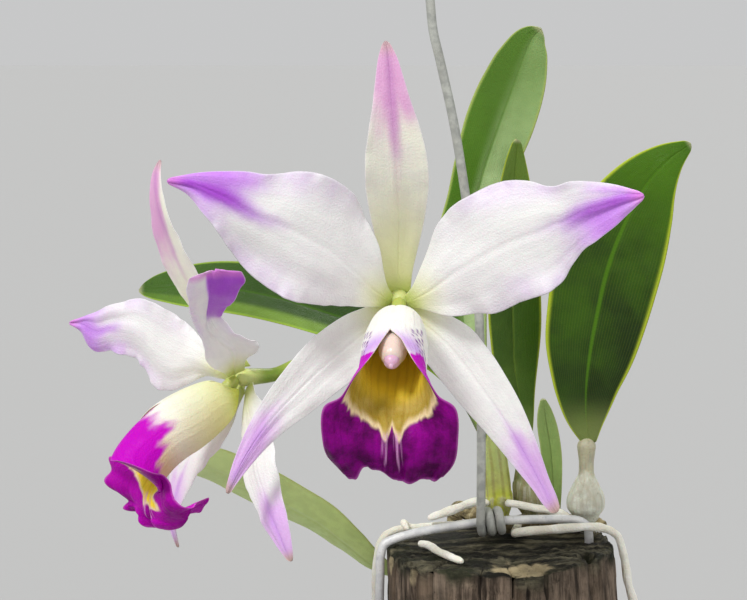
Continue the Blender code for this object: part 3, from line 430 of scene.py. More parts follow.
def through(xs, ys, x):
    """A smooth curve through the points (xs, ys), read at x: cubic pieces with averaged slopes."""
    xs, ys = np.asarray(xs, float), np.asarray(ys, float)
    slope = np.gradient(ys, xs)
    i = np.clip(np.searchsorted(xs, x) - 1, 0, len(xs) - 2)
    h = xs[i + 1] - xs[i]
    u = (x - xs[i]) / h
    start = (1 + 2 * u) * (1 - u) ** 2 * ys[i] + u * (1 - u) ** 2 * h * slope[i]
    return start + u * u * (3 - 2 * u) * ys[i + 1] + u * u * (u - 1) * h * slope[i + 1]


def smooth_route(points, step):
    """A smooth route through the points, with a point about every step."""
    points = np.asarray(points, float)
    run = np.concatenate([[0], np.cumsum(np.linalg.norm(np.diff(points, axis=0), axis=1))])
    x = np.linspace(0, run[-1], max(5, int(round(run[-1] / step)) + 1))
    return np.stack([through(run, points[:, k], x) for k in range(points.shape[1])], axis=1)


def unit(vectors):
    """Vectors brought to length 1."""
    return vectors / np.linalg.norm(vectors, axis=-1, keepdims=True)


def tube_rings(route, radius, sides):
    """Rings round a route, with rounded ends.

    Each ring is the route's point + radius * (cos * one way across + sin * the other),
    and the ways across are carried along the route without twisting.
    """
    count = len(route)
    radius = np.broadcast_to(np.asarray(radius, float), (sides, count)).T
    tangent = unit(np.gradient(route, axis=0))
    aside = [unit(np.cross(tangent[0], np.eye(3)[np.argmin(np.abs(tangent[0]))]))]
    for way in tangent[1:]:
        aside.append(unit(aside[-1] - way * (aside[-1] @ way)))
    at = np.clip(np.arange(-len(DOME), count + len(DOME)), 0, count - 1)
    scale = np.concatenate([np.cos(DOME)[::-1], np.ones(count), np.cos(DOME)])
    shift = np.concatenate([-np.sin(DOME)[::-1], np.zeros(count), np.sin(DOME)])
    tangent, aside, radius = tangent[at], np.array(aside)[at], radius[at] * scale[:, None]
    reach = np.where(scale < 1, radius.mean(1) / np.maximum(scale, 1e-6), 0.0)
    middle = route[at] + tangent * (shift * reach)[:, None]
    other = np.cross(aside, tangent)
    turn = np.linspace(0, math.tau, sides, endpoint=False)
    ring = aside[:, None, :] * np.cos(turn)[None, :, None] + other[:, None, :] * np.sin(turn)[None, :, None]
    return middle[:, None, :] + ring * radius[:, :, None]


def hanger_route():
    """Hook tip, hook, straight stem and coil: circle arcs and a helix round the tie."""
    bend = np.radians(np.linspace(186, -28, 60))
    hook = HOOK_MIDDLE + HOOK_RADIUS * np.stack([np.cos(bend), 0 * bend, np.sin(bend)], axis=1)
    tip = hook[-1] + np.array([[2.2, 0.0, -3.6], [0.7, 0.0, -2.0]])
    share = np.linspace(0, 1, 90)
    angle = math.tau * COIL_TURNS * share
    coil = COIL_START + (COIL_END - COIL_START) * share[:, None]
    coil = coil - COIL_RADIUS * np.stack([0 * angle, np.cos(angle), np.sin(angle)], axis=1)
    return smooth_route(np.concatenate([tip, hook[::-2], STEM_ROUTE, coil[::3]]), WIRE_STEP)


def zinc_finish(name, dull, bright):
    """Dull zinc with grey spangle, darker scuffs and a little white bloom."""
    material, tree = finish(name, 0.45, 0.5)
    spangle = noise(tree, 420, 2.0)
    base = mixed(tree, ranged(tree, spangle, 0.38, 0.64), dull, bright)
    bloom = noise(tree, 160, 4.0)
    base = mixed(tree, ranged(tree, bloom, 0.46, 0.70, 0.0, 0.4), base, bright)
    colour, mask = weathered(tree, base, srgb(126, 120, 110), 210.0, 0.26)
    scuffs = noise(tree, 1500, 3.0)
    return feed(material, Base_Color=colour, Roughness=ranged(tree, spangle, 0.3, 0.7, 0.34, 0.58),
                Metallic=ranged(tree, mask, 0.0, 1.0, 0.15, 0.05), Normal=relief(tree, scuffs, 0.00012))


# The tie and the hanger are the same zinc. It is painted lighter on the tie and darker on the hanger: painted
# light that makes up for the shade on the tie and the light falling on the hanger's stem.
for node, route, dull, bright in (
    ("wire_tie", smooth_route(TIE_ROUTE, WIRE_STEP), srgb(214, 215, 216), srgb(240, 240, 238)),
    ("wire_hanger", hanger_route(), srgb(160, 162, 156), srgb(190, 192, 184)),
):
    piece = skin(f"{node}_drawn", tube_rings(route, WIRE_RADIUS, WIRE_SIDES))
    stand_for(piece, node, zinc_finish(f"{node}_zinc", dull, bright))

# The rhizome: the creeping stem that joins the plant, ringed where each dry sheath
# grew, and pressed to the log's top.
RHIZOME_RADIUS = 2.1
RHIZOME_SIDES = 40
RHIZOME_STEP = 0.3
SHEATH_SPACING = 3.6
# Clearance of the plant over the sawn top
GAP = 0.35
RHIZOME_PLAN = [
    (-9.2, 29.6, 115.2), (-9.0, 29.8, 118.6), (-8.2, 28.6, 122.6), (-7.0, 25.4, None),
    (-4.5, 20.5, None), (-1.0, 15.6, None), (0.2, 11.6, None), (1.8, 8.9, None), (4.8, 9.0, None),
    (8.3, 10.5, None), (12.0, 12.4, None), (15.0, 12.2, None), (18.4, 9.6, None), (21.6, 7.5, None),
    (25.6, 6.6, None),
]


def round_turn(sides):
    """Shares of a whole turn round a tube, as a row."""
    return np.linspace(0, 1, sides, endpoint=False)[None, :]


def over_ends(mask):
    """A mark along a tube, held as it is over both rounded ends."""
    return np.pad(mask, ((len(DOME), len(DOME)), (0, 0)), mode="edge")


def build_rhizome():
    """A tube whose radius steps at each ring of sheath and is fluted by its dry fibres."""
    lift = RHIZOME_RADIUS + GAP
    points = [(x, y, float(log_top(x, y)) + lift if z is None else z) for x, y, z in RHIZOME_PLAN]
    route = smooth_route(points, RHIZOME_STEP)
    run = (np.arange(len(route)) * RHIZOME_STEP)[:, None]
    turn = round_turn(RHIZOME_SIDES)
    saw = (run / SHEATH_SPACING + 0.12 * np.sin(run)) + 0.08 * rough(turn * 9, run / 3, (9, 30), 21)
    sheath = 0.34 * (saw % 1.0) ** 0.8
    fibres = 0.07 * rough(turn * 20, run / 2.4, (20, 40), 22)
    ends = np.clip(np.minimum(run, run[-1] - run) / 2.2, 0, 1) ** 0.5
    radius = (RHIZOME_RADIUS - 0.25 + sheath + fibres) * (0.45 + 0.55 * ends)
    return skin("rhizome_stem", tube_rings(route, radius.T, RHIZOME_SIDES), {"ring": over_ends(saw % 1.0)})


def rhizome_finish():
    """Brown-green stem under torn, straw-coloured sheaths."""
    material, tree = finish("rhizome_skin", 0.75)
    fibres = noise(tree, 900, 4.0, (0.5, 0.5, 1.0))
    base = mixed(tree, ranged(tree, fibres, 0.36, 0.64), srgb(96, 84, 48), srgb(176, 160, 116))
    base = mixed(tree, ranged(tree, mark(tree, "ring"), 0.78, 1.0, 0.0, 0.7), base, srgb(212, 200, 164))
    colour, mask = weathered(tree, base, srgb(70, 56, 38), 240.0, 0.5)
    return feed(material, Base_Color=colour, Normal=relief(tree, fibres, 0.0003),
                Roughness=ranged(tree, mask, 0.0, 1.0, 0.65, 0.85))


stand_for(build_rhizome(), "rhizome", rhizome_finish())

# The pseudobulbs: swollen stems that store water, ribbed as they age, each with a
# papery sheath torn off round its lower part. The newest is still yellow-green.
BULB_FOOT = 2 * RHIZOME_RADIUS + 2 * GAP
BULB_ROWS = 60
BULB_SIDES = 56
RIBS = 8
RIB_DEPTH = 0.03
# Foot, top, and the radius at shares of the height; a foot without a height is on the rhizome
BULBS = {
    "pseudobulb_1": ((1.4, 8.6, None), (-0.6, 8.1, 144.4),
                     [(0.0, 1.9), (0.12, 2.8), (0.35, 3.1), (0.65, 3.0), (0.88, 2.8), (1.0, 2.6)]),
    "pseudobulb_2": ((8.6, 10.6, None), (7.4, 10.6, 140.6),
                     [(0.0, 2.0), (0.15, 3.3), (0.4, 3.6), (0.7, 3.0), (0.9, 2.1), (1.0, 1.7)]),
    "pseudobulb_3": ((21.6, 7.6, None), (21.6, 7.5, 143.0),
                     [(0.0, 3.2), (0.07, 4.1), (0.18, 4.4), (0.32, 3.9), (0.45, 2.9), (0.57, 2.0),
                      (0.72, 1.8), (1.0, 2.3)]),
    "pseudobulb_4": ((-0.8, 15.9, None), (-1.0, 16.2, 145.0),
                     [(0.0, 1.8), (0.15, 2.6), (0.45, 2.9), (0.75, 2.4), (1.0, 1.7)]),
    "pseudobulb_5": ((-10.3, 30.1, 113.4), (-20.6, 31.6, 106.4),
                     [(0.0, 1.6), (0.15, 2.7), (0.45, 3.1), (0.75, 2.6), (1.0, 1.8)]),
}
# Low colour, high colour, rib colour, sheath edge as a share of the height
BULB_LOOKS = {
    "pseudobulb_1": (srgb(206, 214, 56), srgb(176, 190, 108), srgb(136, 120, 44), 0.22),
    "pseudobulb_2": (srgb(150, 148, 104), srgb(120, 136, 88), srgb(128, 96, 66), 0.55),
    "pseudobulb_3": (srgb(226, 230, 216), srgb(178, 172, 148), srgb(184, 188, 166), 0.58),
    "pseudobulb_4": (srgb(158, 160, 104), srgb(120, 138, 76), srgb(104, 96, 54), 0.45),
    "pseudobulb_5": (srgb(160, 160, 100), srgb(124, 142, 72), srgb(104, 96, 54), 0.40),
}


def build_bulb(name, foot, top, profile, edge, seed):
    """A swollen tube: the profile's radius, eight soft ribs, and a sheath that ends in a torn line."""
    x, y, z = foot
    foot = np.array([x, y, float(log_top(x, y)) + BULB_FOOT if z is None else z])
    t, turn = np.linspace(0, 1, BULB_ROWS)[:, None], round_turn(BULB_SIDES)
    base = through(*zip(*profile), t)
    ribs = np.cos(math.tau * (RIBS * turn + 0.12 * rough(turn * 5, t * 3, (5, 9), seed)))
    ribs = RIB_DEPTH * base * ribs * fade(0.02, 0.2, t) * (1 - 0.5 * fade(0.8, 1.0, t))
    torn = edge + 0.07 * rough(turn * 11, 0 * t, (11, 3), seed + 1)
    torn = torn + 0.03 * rough(turn * 31, 0 * t, (31, 3), seed + 2)
    sheath = 1 - fade(torn - 0.012, torn + 0.012, t)
    wrinkles = 0.05 * rough(turn * 34, t * 6, (34, 12), seed + 3)
    radius = base + ribs + 0.20 * sheath - 0.1 + wrinkles
    marks = {"rib": 0.5 - 0.5 * ribs / (RIB_DEPTH * base), "sheath": sheath, "height": t + 0 * turn}
    marks = {label: over_ends(mask) for label, mask in marks.items()}
    return skin(f"{name}_skin", tube_rings(foot + (np.array(top) - foot) * t, radius.T, BULB_SIDES), marks)


def living_cells_group():
    """The fine surface of living tissue: small round cells over soft unevenness, as a height."""
    tree, takes, gives = shared("Living Cells", [
        ("Scale", "NodeSocketFloat", 3000.0), ("Soft", "NodeSocketFloat", 0.5),
    ], [("Height", "NodeSocketFloat"), ("Mottle", "NodeSocketFloat")])
    place = own_place(tree)
    cells = put(tree, "ShaderNodeTexVoronoi", {"Vector": place, "Scale": takes["Scale"]}).outputs["Distance"]
    swell = noise_at(tree, place, times(tree, takes["Scale"], 0.14), 4.0)
    height = plus(tree, times(tree, cells, 0.4), times(tree, swell, takes["Soft"]))
    tree.links.new(height, gives["Height"])
    tree.links.new(ranged(tree, swell, 0.35, 0.65), gives["Mottle"])
    return tree


def living(tree, scale, soft=0.5):
    """The living tissue's height and mottling."""
    node = put(tree, "ShaderNodeGroup", {"Scale": scale, "Soft": soft}, node_tree=LIVING_CELLS)
    return node.outputs["Height"], node.outputs["Mottle"]


LIVING_CELLS = living_cells_group()


def bulb_finish(name, low, high, rib, seed):
    """Waxy skin, darker in the furrows, under a pale, papery, fibrous sheath."""
    material, tree = finish(f"{name}_skin", 0.5, Subsurface_Weight=0.12, Subsurface_Scale=0.001)
    height, mottle = living(tree, 1800.0)
    fibres = noise(tree, 1300, 4.0, (1.0, 1.0, 0.12))
    body = mixed(tree, ranged(tree, mark(tree, "height"), 0.1, 0.8), low, high)
    body = mixed(tree, ranged(tree, mark(tree, "rib"), 0.45, 1.0, 0.0, 0.55), body, rib)
    paper = mixed(tree, ranged(tree, fibres, 0.4, 0.62), low, srgb(206, 202, 184))
    body = layered(tree, body, (mottle, 0.25, srgb(206, 204, 150)), ("sheath", 0.62, paper))
    colour, _ = weathered(tree, body, srgb(108, 92, 62), 190.0 + seed, 0.32)
    both = plus(tree, height, times(tree, fibres, 0.8))
    return feed(material, Base_Color=colour, Normal=relief(tree, both, 0.0002),
                Roughness=ranged(tree, mark(tree, "sheath"), 0.0, 1.0, 0.42, 0.68))


for seed, (node, (foot, top, profile)) in enumerate(BULBS.items()):
    low, high, rib, edge = BULB_LOOKS[node]
    piece = build_bulb(node, foot, top, profile, edge, 40 + 7 * seed)
    stand_for(piece, node, bulb_finish(node, low, high, rib, seed))

# The leaves: thick, waxy and keeled, one on each pseudobulb, with a groove over the
# midrib, a keel below it, and a thin pale margin.
LEAF_THICKNESS = 1.4
LEAF_ROWS = 112
LEAF_COLUMNS = 41
# Midrib, the way across, outline (place along, offset, half width), and the fold of each half
LEAVES = {
    "leaf_a": ([
        (-0.9, 16.3, 145.9), (-2.3, 17.0, 150.6), (-5.2, 18.0, 158.2), (-7.2, 19.0, 169.3),
        (-7.7, 20.0, 181.4), (-7.0, 20.4, 192.3), (-4.6, 20.4, 200.5), (-2.3, 20.2, 209.1),
        (1.6, 19.6, 220.9), (4.3, 19.0, 228.5), (6.5, 18.0, 234.9), (8.9, 17.0, 240.0),
        (10.5, 16.4, 241.6),
    ], (-1, 0, 0.12), [
        (0.0, 0.0, 1.7), (0.06, 0.0, 2.8), (0.14, 0.0, 4.2), (0.25, 0.0, 5.6), (0.37, 0.0, 6.3),
        (0.48, 0.0, 6.6), (0.56, 0.0, 6.9), (0.65, 0.0, 7.5), (0.77, 0.0, 8.3), (0.85, 0.0, 7.7),
        (0.92, 0.0, 6.1), (0.97, 0.0, 3.8), (1.0, 0.0, 1.4),
    ], (7, 7)),
    "leaf_b": ([
        (7.3, 10.7, 141.5), (6.8, 11.2, 148.4), (5.5, 11.8, 154.6), (4.3, 12.0, 161.9),
        (4.0, 12.2, 170.2), (3.7, 12.6, 179.8), (3.7, 13.0, 189.4), (3.9, 13.4, 199.0),
        (4.1, 13.8, 206.6), (4.4, 14.0, 211.8), (4.8, 14.0, 215.6),
    ], (-1, -0.5, 0), [
        (0.0, 0.0, 1.6), (0.08, 0.0, 2.4), (0.17, 0.0, 4.2), (0.27, 0.0, 6.2), (0.38, 0.0, 7.2),
        (0.51, 0.0, 7.4), (0.64, 0.0, 6.9), (0.77, 0.0, 5.7), (0.87, 0.0, 4.1), (0.95, 0.0, 2.4),
        (1.0, 0.0, 1.0),
    ], (13, 13)),
    "leaf_c": ([
        (22.2, 7.5, 143.9), (21.4, 7.5, 149.2), (21.2, 7.4, 156.4), (22.1, 7.2, 166.0),
        (23.3, 7.0, 175.6), (24.9, 6.8, 184.0), (27.4, 6.6, 192.3), (30.8, 6.2, 199.9),
        (34.9, 5.8, 206.5), (39.8, 5.4, 211.6), (44.6, 5.0, 215.0),
    ], (-1, 0, 0.1), [
        (0.0, 0.0, 1.7), (0.08, 0.0, 5.0), (0.17, 0.0, 7.8), (0.29, 0.0, 10.8), (0.41, -0.4, 12.1),
        (0.51, -0.5, 12.6), (0.62, -0.6, 12.2), (0.73, -0.5, 10.5), (0.83, -0.3, 7.7), (0.92, 0.0, 4.3),
        (1.0, 0.0, 1.0),
    ], (8, 8)),
    "leaf_d": ([
        (-2.7, 7.6, 145.6), (-5.8, 6.6, 151.6), (-10.6, 5.8, 158.9), (-16.9, 5.6, 165.8),
        (-26.4, 5.6, 171.0), (-38.1, 6.2, 174.2), (-48.7, 7.2, 177.4), (-60.6, 8.4, 179.9),
        (-70.1, 9.4, 180.5), (-78.4, 10.0, 180.4), (-84.6, 10.0, 180.0),
    ], (0, -0.80, -0.60), [
        (0.0, 0.0, 1.6), (0.07, 0.0, 2.4), (0.16, 0.0, 4.4), (0.26, 0.0, 6.4), (0.38, 0.0, 7.8),
        (0.51, 0.0, 8.8), (0.63, 0.0, 9.2), (0.75, 0.0, 9.1), (0.85, 0.0, 7.9), (0.92, 0.0, 5.9),
        (0.97, 0.0, 3.6), (1.0, 0.0, 1.2),
    ], (9, 9)),
    "leaf_e": ([
        (-22.2, 31.6, 105.8), (-24.8, 30.6, 106.4), (-28.2, 28.6, 108.6), (-35.4, 25.5, 115.0),
        (-43.0, 22.5, 121.6), (-49.5, 20.5, 125.7), (-56.2, 18.0, 130.1), (-61.4, 16.0, 133.3),
        (-67.8, 14.0, 136.6), (-74.3, 12.0, 138.8), (-82.4, 9.5, 140.5),
    ], (0, 0.72, -0.70), [
        (0.0, 0.0, 1.7), (0.06, 0.0, 2.6), (0.14, 0.0, 4.6), (0.26, 0.0, 6.6), (0.38, 0.0, 8.0),
        (0.5, 0.0, 8.6), (0.62, 0.0, 8.6), (0.73, 0.0, 8.0), (0.83, 0.0, 6.8), (0.91, 0.0, 5.0),
        (0.965, 0.0, 3.0), (1.0, 0.0, 1.2),
    ], (-8, -8)),
    "leaf_young": ([
        (14.6, 12.9, None), (14.2, 13.4, 133.0), (13.4, 13.8, 142.0), (12.2, 13.8, 149.0),
        (11.6, 13.6, 153.4),
    ], (-1, -0.1, 0), [
        (0.0, 0.0, 1.5), (0.15, 0.0, 2.0), (0.35, 0.0, 2.5), (0.6, 0.0, 2.7), (0.8, 0.0, 2.4),
        (0.92, 0.0, 1.6), (1.0, 0.0, 0.6),
    ], (20, 20)),
}
# Colour of the blade's first half, of its second half, of the midrib and of the margin
LEAF_LOOKS = {
    # Leaf a's first half is far lighter than its second: a painted sheen over that half.
    "leaf_a": (srgb(198, 224, 160), srgb(76, 120, 18), srgb(96, 136, 48), srgb(176, 196, 104)),
    "leaf_b": (srgb(58, 92, 14), srgb(52, 84, 12), srgb(110, 138, 48), srgb(172, 188, 48)),
    "leaf_c": (srgb(22, 44, 1), srgb(30, 56, 2), srgb(84, 134, 8), srgb(190, 208, 52)),
    "leaf_d": (srgb(24, 54, 2), srgb(118, 152, 44), srgb(70, 108, 24), srgb(158, 190, 60)),
    # Leaf e's colours are raised pale: painted light that makes up for the shade it lies in, facing away and
    # down.
    "leaf_e": (srgb(214, 236, 146), srgb(206, 228, 142), srgb(216, 234, 164), srgb(196, 212, 130)),
    "leaf_young": (srgb(140, 168, 92), srgb(132, 160, 84), srgb(160, 184, 112), srgb(176, 190, 120)),
}
# Where the second colour begins across a blade, if not at the midrib
LEAF_PARTING = {"leaf_d": 0.55}
# How softly the two colours meet, and how many dark specks there are, where a leaf differs; on leaf a the
# soft meeting is the edge of its painted sheen
LEAF_SOFTNESS = {"leaf_a": 0.32}
LEAF_SPECKS = {"leaf_a": 0.95, "leaf_d": 0.6}


def blade_sheet(spine, side, outline, fold, mirror, rows, columns):
    """The middle surface of a leaf or tepal, with its grid of t along and v across.

    Point = spine(t) + across * (offset(t) + half(t) * v * cos(fold))
    + front * half(t) * |v| ^ 1.4 * sin(fold).
    The side may turn along the blade, and each half has its own fold.
    """
    t = 1 - (1 - np.linspace(0, 1, rows)) ** 1.25
    even = np.linspace(-1, 1, columns)
    v = 0.55 * even + 0.45 * np.sin(even * math.pi / 2)
    share, offset, half = (np.array(column) for column in zip(*outline))
    offset, half = through(share, offset * mirror, t), through(share, half, t)
    half = half * np.sqrt(np.clip(1 - ((t - 0.985) / 0.0152).clip(0, 1) ** 2, 0.01, 1))
    spine = np.asarray(spine, float)
    run = np.concatenate([[0], np.cumsum(np.linalg.norm(np.diff(spine, axis=0), axis=1))])

    def on_spine(at):
        return np.stack([through(run / run[-1], spine[:, k], np.clip(at, 0, 1)) for k in range(3)], axis=1)

    middle, along = on_spine(t), unit(on_spine(t + 0.02) - on_spine(t - 0.02))
    sides = np.atleast_2d(np.array(side, float))
    across = np.stack([np.interp(t, np.linspace(0, 1, len(sides)), sides[:, k]) for k in range(3)], axis=1)
    across = unit(across - along * np.sum(along * across, axis=1)[:, None])
    front = np.cross(along, across)
    folds = np.radians(np.where(v < 0, fold[0], fold[1]))
    sideways = offset[:, None] + half[:, None] * (v * np.cos(folds))[None, :]
    out = half[:, None] * (np.abs(v) ** 1.4 * np.sin(folds))[None, :]
    points = middle[:, None, :] + across[:, None, :] * sideways[:, :, None]
    points = points + front[:, None, :] * out[:, :, None]
    return points, t[:, None], v[None, :], half[:, None]


def faced(points):
    """The unit normal on the front of a sheet: along x across."""
    return unit(np.cross(np.gradient(points, axis=0), np.gradient(points, axis=1)))


def thick_rings(points, front, back):
    """Closed rings round a sheet: over its front from one edge to the other, and home over its back."""
    normal = faced(points)
    over = points + normal * front[:, :, None]
    under = points - normal * back[:, :, None]
    return np.concatenate([over, under[:, -2:0:-1]], axis=1)


def blade_skin(name, points, front, back, t, v, marks, sewn=False):
    """A sheet's closed skin, with its UV map and its marks over both faces.

    A mark is one mask for both faces, or a pair: the front's and the back's.
    """
    def all_round(mask):
        faces = mask if isinstance(mask, tuple) else (mask, mask)
        over, under = (np.broadcast_to(face, points.shape[:2]) for face in faces)
        return np.concatenate([over, under[:, -2:0:-1]], axis=1)

    marks = {label: all_round(mask) for label, mask in marks.items()}
    return skin(name, thick_rings(points, front, back), marks, all_round(t), all_round((v + 1) / 2), sewn)


def long_veins_group():
    """Fine lines that run the length of a blade, from its UV map, with a slight wander."""
    tree, takes, gives = shared("Long Veins", [
        ("Count", "NodeSocketFloat", 30.0), ("Wander", "NodeSocketFloat", 0.03),
    ], [("Line", "NodeSocketFloat")])
    place = put(tree, "ShaderNodeUVMap", uv_map="UVMap").outputs["UV"]
    turned = put(tree, "ShaderNodeMapping", {"Vector": place, "Scale": (3.0, 9.0, 1.0)}).outputs[0]
    drift = noise_at(tree, turned, 1.0, 2.0)
    aside = put(tree, "ShaderNodeSeparateXYZ", {"Vector": place}).outputs["Y"]
    shifted = plus(tree, aside, times(tree, drift, takes["Wander"]))
    waves = worked(tree, "SINE", times(tree, shifted, takes["Count"]))
    tree.links.new(ranged(tree, waves, 0.2, 1.0), gives["Line"])
    return tree


LONG_VEINS = long_veins_group()


def veins(tree, count, wander):
    """The mask of the long veins."""
    node = put(tree, "ShaderNodeGroup", {"Count": count, "Wander": wander}, node_tree=LONG_VEINS)
    return node.outputs["Line"]


def build_leaf(node, spine, side, outline, fold, seed):
    """A folded blade, thick at the midrib and thin at the margin.

    Front = half thickness - groove at v = 0; back = half thickness + keel at v = 0.
    """
    x, y, z = spine[0]
    if z is None:
        spine = [(x, y, float(log_top(x, y)) + BULB_FOOT)] + spine[1:]
    points, t, v, half = blade_sheet(spine, side, outline, fold, 1, LEAF_ROWS, LEAF_COLUMNS)
    waver = 0.22 * rough(t * 7, v + 9, (9, 20), seed) * np.abs(v) ** 2 * np.sin(math.pi * t)
    points = points + faced(points) * (waver * (half / 7))[..., None]
    edge = np.sqrt(np.clip(1 - np.abs(v) ** 5, 0, 1)) * (0.45 + 0.55 * (1 - v * v))
    body = LEAF_THICKNESS / 2 * edge * (0.5 + 0.5 * np.clip((1 - t) / 0.06, 0, 1) ** 0.5)
    run = np.sin(math.pi * np.clip(t, 0, 1)) ** 0.4
    groove = 0.32 * bump_at(v, 0, 0.045) * run
    keel = 0.55 * bump_at(v, 0, 0.13) * (1 - 0.7 * t)
    cells = 0.05 * rough(t * 46, v * 14 + 40, (60, 90), seed + 1) * edge
    parting, soft = LEAF_PARTING.get(node, 0.0), LEAF_SOFTNESS.get(node, 0.12)
    return blade_skin(f"{node}_blade", points, body - groove + cells, body + keel + cells, t, v, {
        "upper": (1, 0),
        "margin": fade(0.90, 0.985, np.abs(v)),
        "midrib": bump_at(v, 0, 0.05) * run,
        "tip": fade(0.985, 1.0, t),
        "high": fade(0.55, 0.95, t),
        "half": fade(parting - soft, parting + soft, v),
        "foot": 1 - fade(0.0, 0.16, t),
    })


def leaf_finish(node, first, second, midrib, margin, specks):
    """Waxy green with faint long veins, a pale margin and tip, and a few dark specks."""
    material, tree = finish(f"{node}_green", 0.42, Subsurface_Weight=0.08, Subsurface_Scale=0.001,
                            Specular_IOR_Level=0.25)
    height, mottle = living(tree, 2600.0)
    line = veins(tree, 230.0, 0.02)
    broad = noise(tree, 60, 3.0)
    # The two halves' colours: leaf a's lighter first half is a painted sheen, and leaf e's colours are raised
    # by painted light.
    base = layered(
        tree, mixed(tree, mark(tree, "half"), first, second),
        (ranged(tree, broad, 0.35, 0.7), 0.30, midrib),
        (line, 0.04, margin),
        (mottle, 0.10, srgb(46, 70, 20)),
        (ranged(tree, mark(tree, "midrib"), 0.1, 0.9, 0.0, 0.65), 1.0, midrib),
        ("high", 0.65, midrib),
        ("foot", 0.6, srgb(150, 164, 92)),
    )
    under = mixed(tree, 0.25, base, srgb(150, 178, 110))
    spots = times(tree, ranged(tree, noise(tree, 340, 2.0), 0.70, 0.74), ranged(tree, broad, 0.54, 0.66))
    base = layered(
        tree, mixed(tree, mark(tree, "upper"), under, base),
        ("margin", 0.85, margin),
        ("tip", 0.7, srgb(206, 206, 160)),
        (spots, specks, srgb(34, 36, 20)),
    )
    both = plus(tree, height, times(tree, line, -0.16))
    return feed(material, Base_Color=base, Normal=relief(tree, both, 0.00016),
                Roughness=ranged(tree, mottle, 0.0, 1.0, 0.36, 0.50))


for number, (node, leaf) in enumerate(LEAVES.items()):
    green = leaf_finish(node, *LEAF_LOOKS[node], LEAF_SPECKS.get(node, 0.25))
    stand_for(build_leaf(node, *leaf, 80 + 5 * number), node, green)

# The flower stalk: one green stem that parts into two pedicels, each swelling into
# the base of its flower, with a short sheath at its foot.
STEM_RADIUS = 1.5
PEDICEL_RADIUS = 1.55
FOOT_RADIUS = 2.2
STALK_STEP = 0.4
STALK_SIDES = 28
STALK_CUBE = 0.3
SHEATH_THICKNESS = 0.7
FLOWER_1 = np.array([-23.7, -45.0, 184.5])
FLOWER_1_TURN = 0.0
FLOWER_2 = np.array([-59.8, -15.0, 163.1])
FLOWER_2_TURN = -60.0
FLOWER_2_FACE = np.array([math.sin(math.radians(FLOWER_2_TURN)), -math.cos(math.radians(FLOWER_2_TURN)), 0.0])
STALK_ROUTES = [
    [(0.5, 8.5, 145.0), (-0.5, 8.2, 148.6), (-2.2, 7.6, 152.4), (-4.6, 6.4, 157.0), (-7.6, 4.4, 161.6),
     (-11.2, 1.6, 165.8), (-15.0, -1.6, 169.0), (-17.9, -3.5, 170.6)],
    [(-16.4, -2.6, 169.8), (-18.8, -6.0, 172.6), (-21.6, -13.0, 177.5), (-23.2, -21.0, 181.6),
     (-23.7, -29.0, 184.0), (-23.7, -36.0, 184.4), (-23.7, -40.0, 184.5), (-23.7, -43.2, 184.5)],
    [(-15.6, -2.0, 169.4), (-20.0, -4.6, 170.0), (-27.5, -5.6, 168.8), (-36.8, -6.4, 167.4),
     (-45.4, -8.0, 165.4), *(FLOWER_2 - FLOWER_2_FACE * back for back in (9.0, 5.0, 1.8))],
]
SHEATH_SPINE = [(0.7, 6.1, 145.2), (-0.2, 5.6, 148.6), (-1.8, 4.9, 152.4), (-3.6, 4.0, 155.8)]
SHEATH_OUTLINE = [
    (0.0, 0.0, 1.0), (0.2, 0.0, 1.9), (0.5, 0.0, 2.2), (0.75, 0.0, 1.7), (0.92, 0.0, 1.0), (1.0, 0.0, 0.4),
]


def grown_together(name, limbs, voxel):
    """Closed skins grown into one: remeshed on small cubes, then smoothed."""
    whole = limbs[0]
    with bpy.context.temp_override(active_object=whole, object=whole, selected_editable_objects=limbs):
        bpy.ops.object.join()
    whole.name = name
    remesh = whole.modifiers.new("Grown", "REMESH")
    remesh.mode = "VOXEL"
    remesh.voxel_size = voxel * MM
    even = whole.modifiers.new("Even", "SMOOTH")
    even.iterations = 6
    even.factor = 0.5
    graph = bpy.context.evaluated_depsgraph_get()
    grown = bpy.data.meshes.new_from_object(whole.evaluated_get(graph))
    whole.modifiers.clear()
    whole.data = grown
    grown.name = name
    grown.shade_smooth()
    return whole


def build_stalk():
    """Three tubes that meet at the fork: a plain stem, and two pedicels that swell at their flowers."""
    limbs = []
    for number, points in enumerate(STALK_ROUTES):
        route = smooth_route(points, STALK_STEP)
        left = (len(route) - 1 - np.arange(len(route))) * STALK_STEP
        if number == 0:
            radius = STEM_RADIUS + 0.08 * np.sin(0.9 * left) + 0.5 * bump_at(left, left[0], 2.2)
        else:
            swell = (FOOT_RADIUS - 0.1 - PEDICEL_RADIUS) * np.exp(-left / 4.6)
            radius = PEDICEL_RADIUS + 0.05 * np.sin(0.6 * left) + swell
        limbs.append(skin(f"stalk_limb_{number}", tube_rings(route, radius, STALK_SIDES)))
    return grown_together("flower_stalk_stem", limbs, STALK_CUBE)


def stalk_finish():
    """Smooth, waxy yellow-green, with paler lengthwise streaks and small marks."""
    material, tree = finish("stalk_green", 0.4, Subsurface_Weight=0.15, Subsurface_Scale=0.0015,
                            Coat_Weight=0.1)
    height, mottle = living(tree, 2400.0)
    streak = noise(tree, 300, 3.0, (0.3, 0.3, 0.3))
    base = mixed(tree, ranged(tree, streak, 0.36, 0.66), srgb(116, 146, 32), srgb(168, 188, 70))
    base = layered(tree, base, (mottle, 0.25, srgb(150, 158, 62)))
    colour, _ = weathered(tree, base, srgb(116, 104, 52), 130.0, 0.2)
    place = own_place(tree)
    for middle in (FLOWER_1, FLOWER_2):
        centre = tuple(float(c) for c in middle * MM)
        away = put(tree, "ShaderNodeVectorMath", {0: place, 1: centre}, operation="DISTANCE").outputs["Value"]
        colour = mixed(tree, ranged(tree, away, 0.002, 0.0075, 0.9, 0.0), colour, srgb(216, 222, 140))
    return feed(material, Base_Color=colour, Normal=relief(tree, height, 0.00015))


stalk_green = stalk_finish()
stand_for(build_stalk(), "flower_stalk", stalk_green)

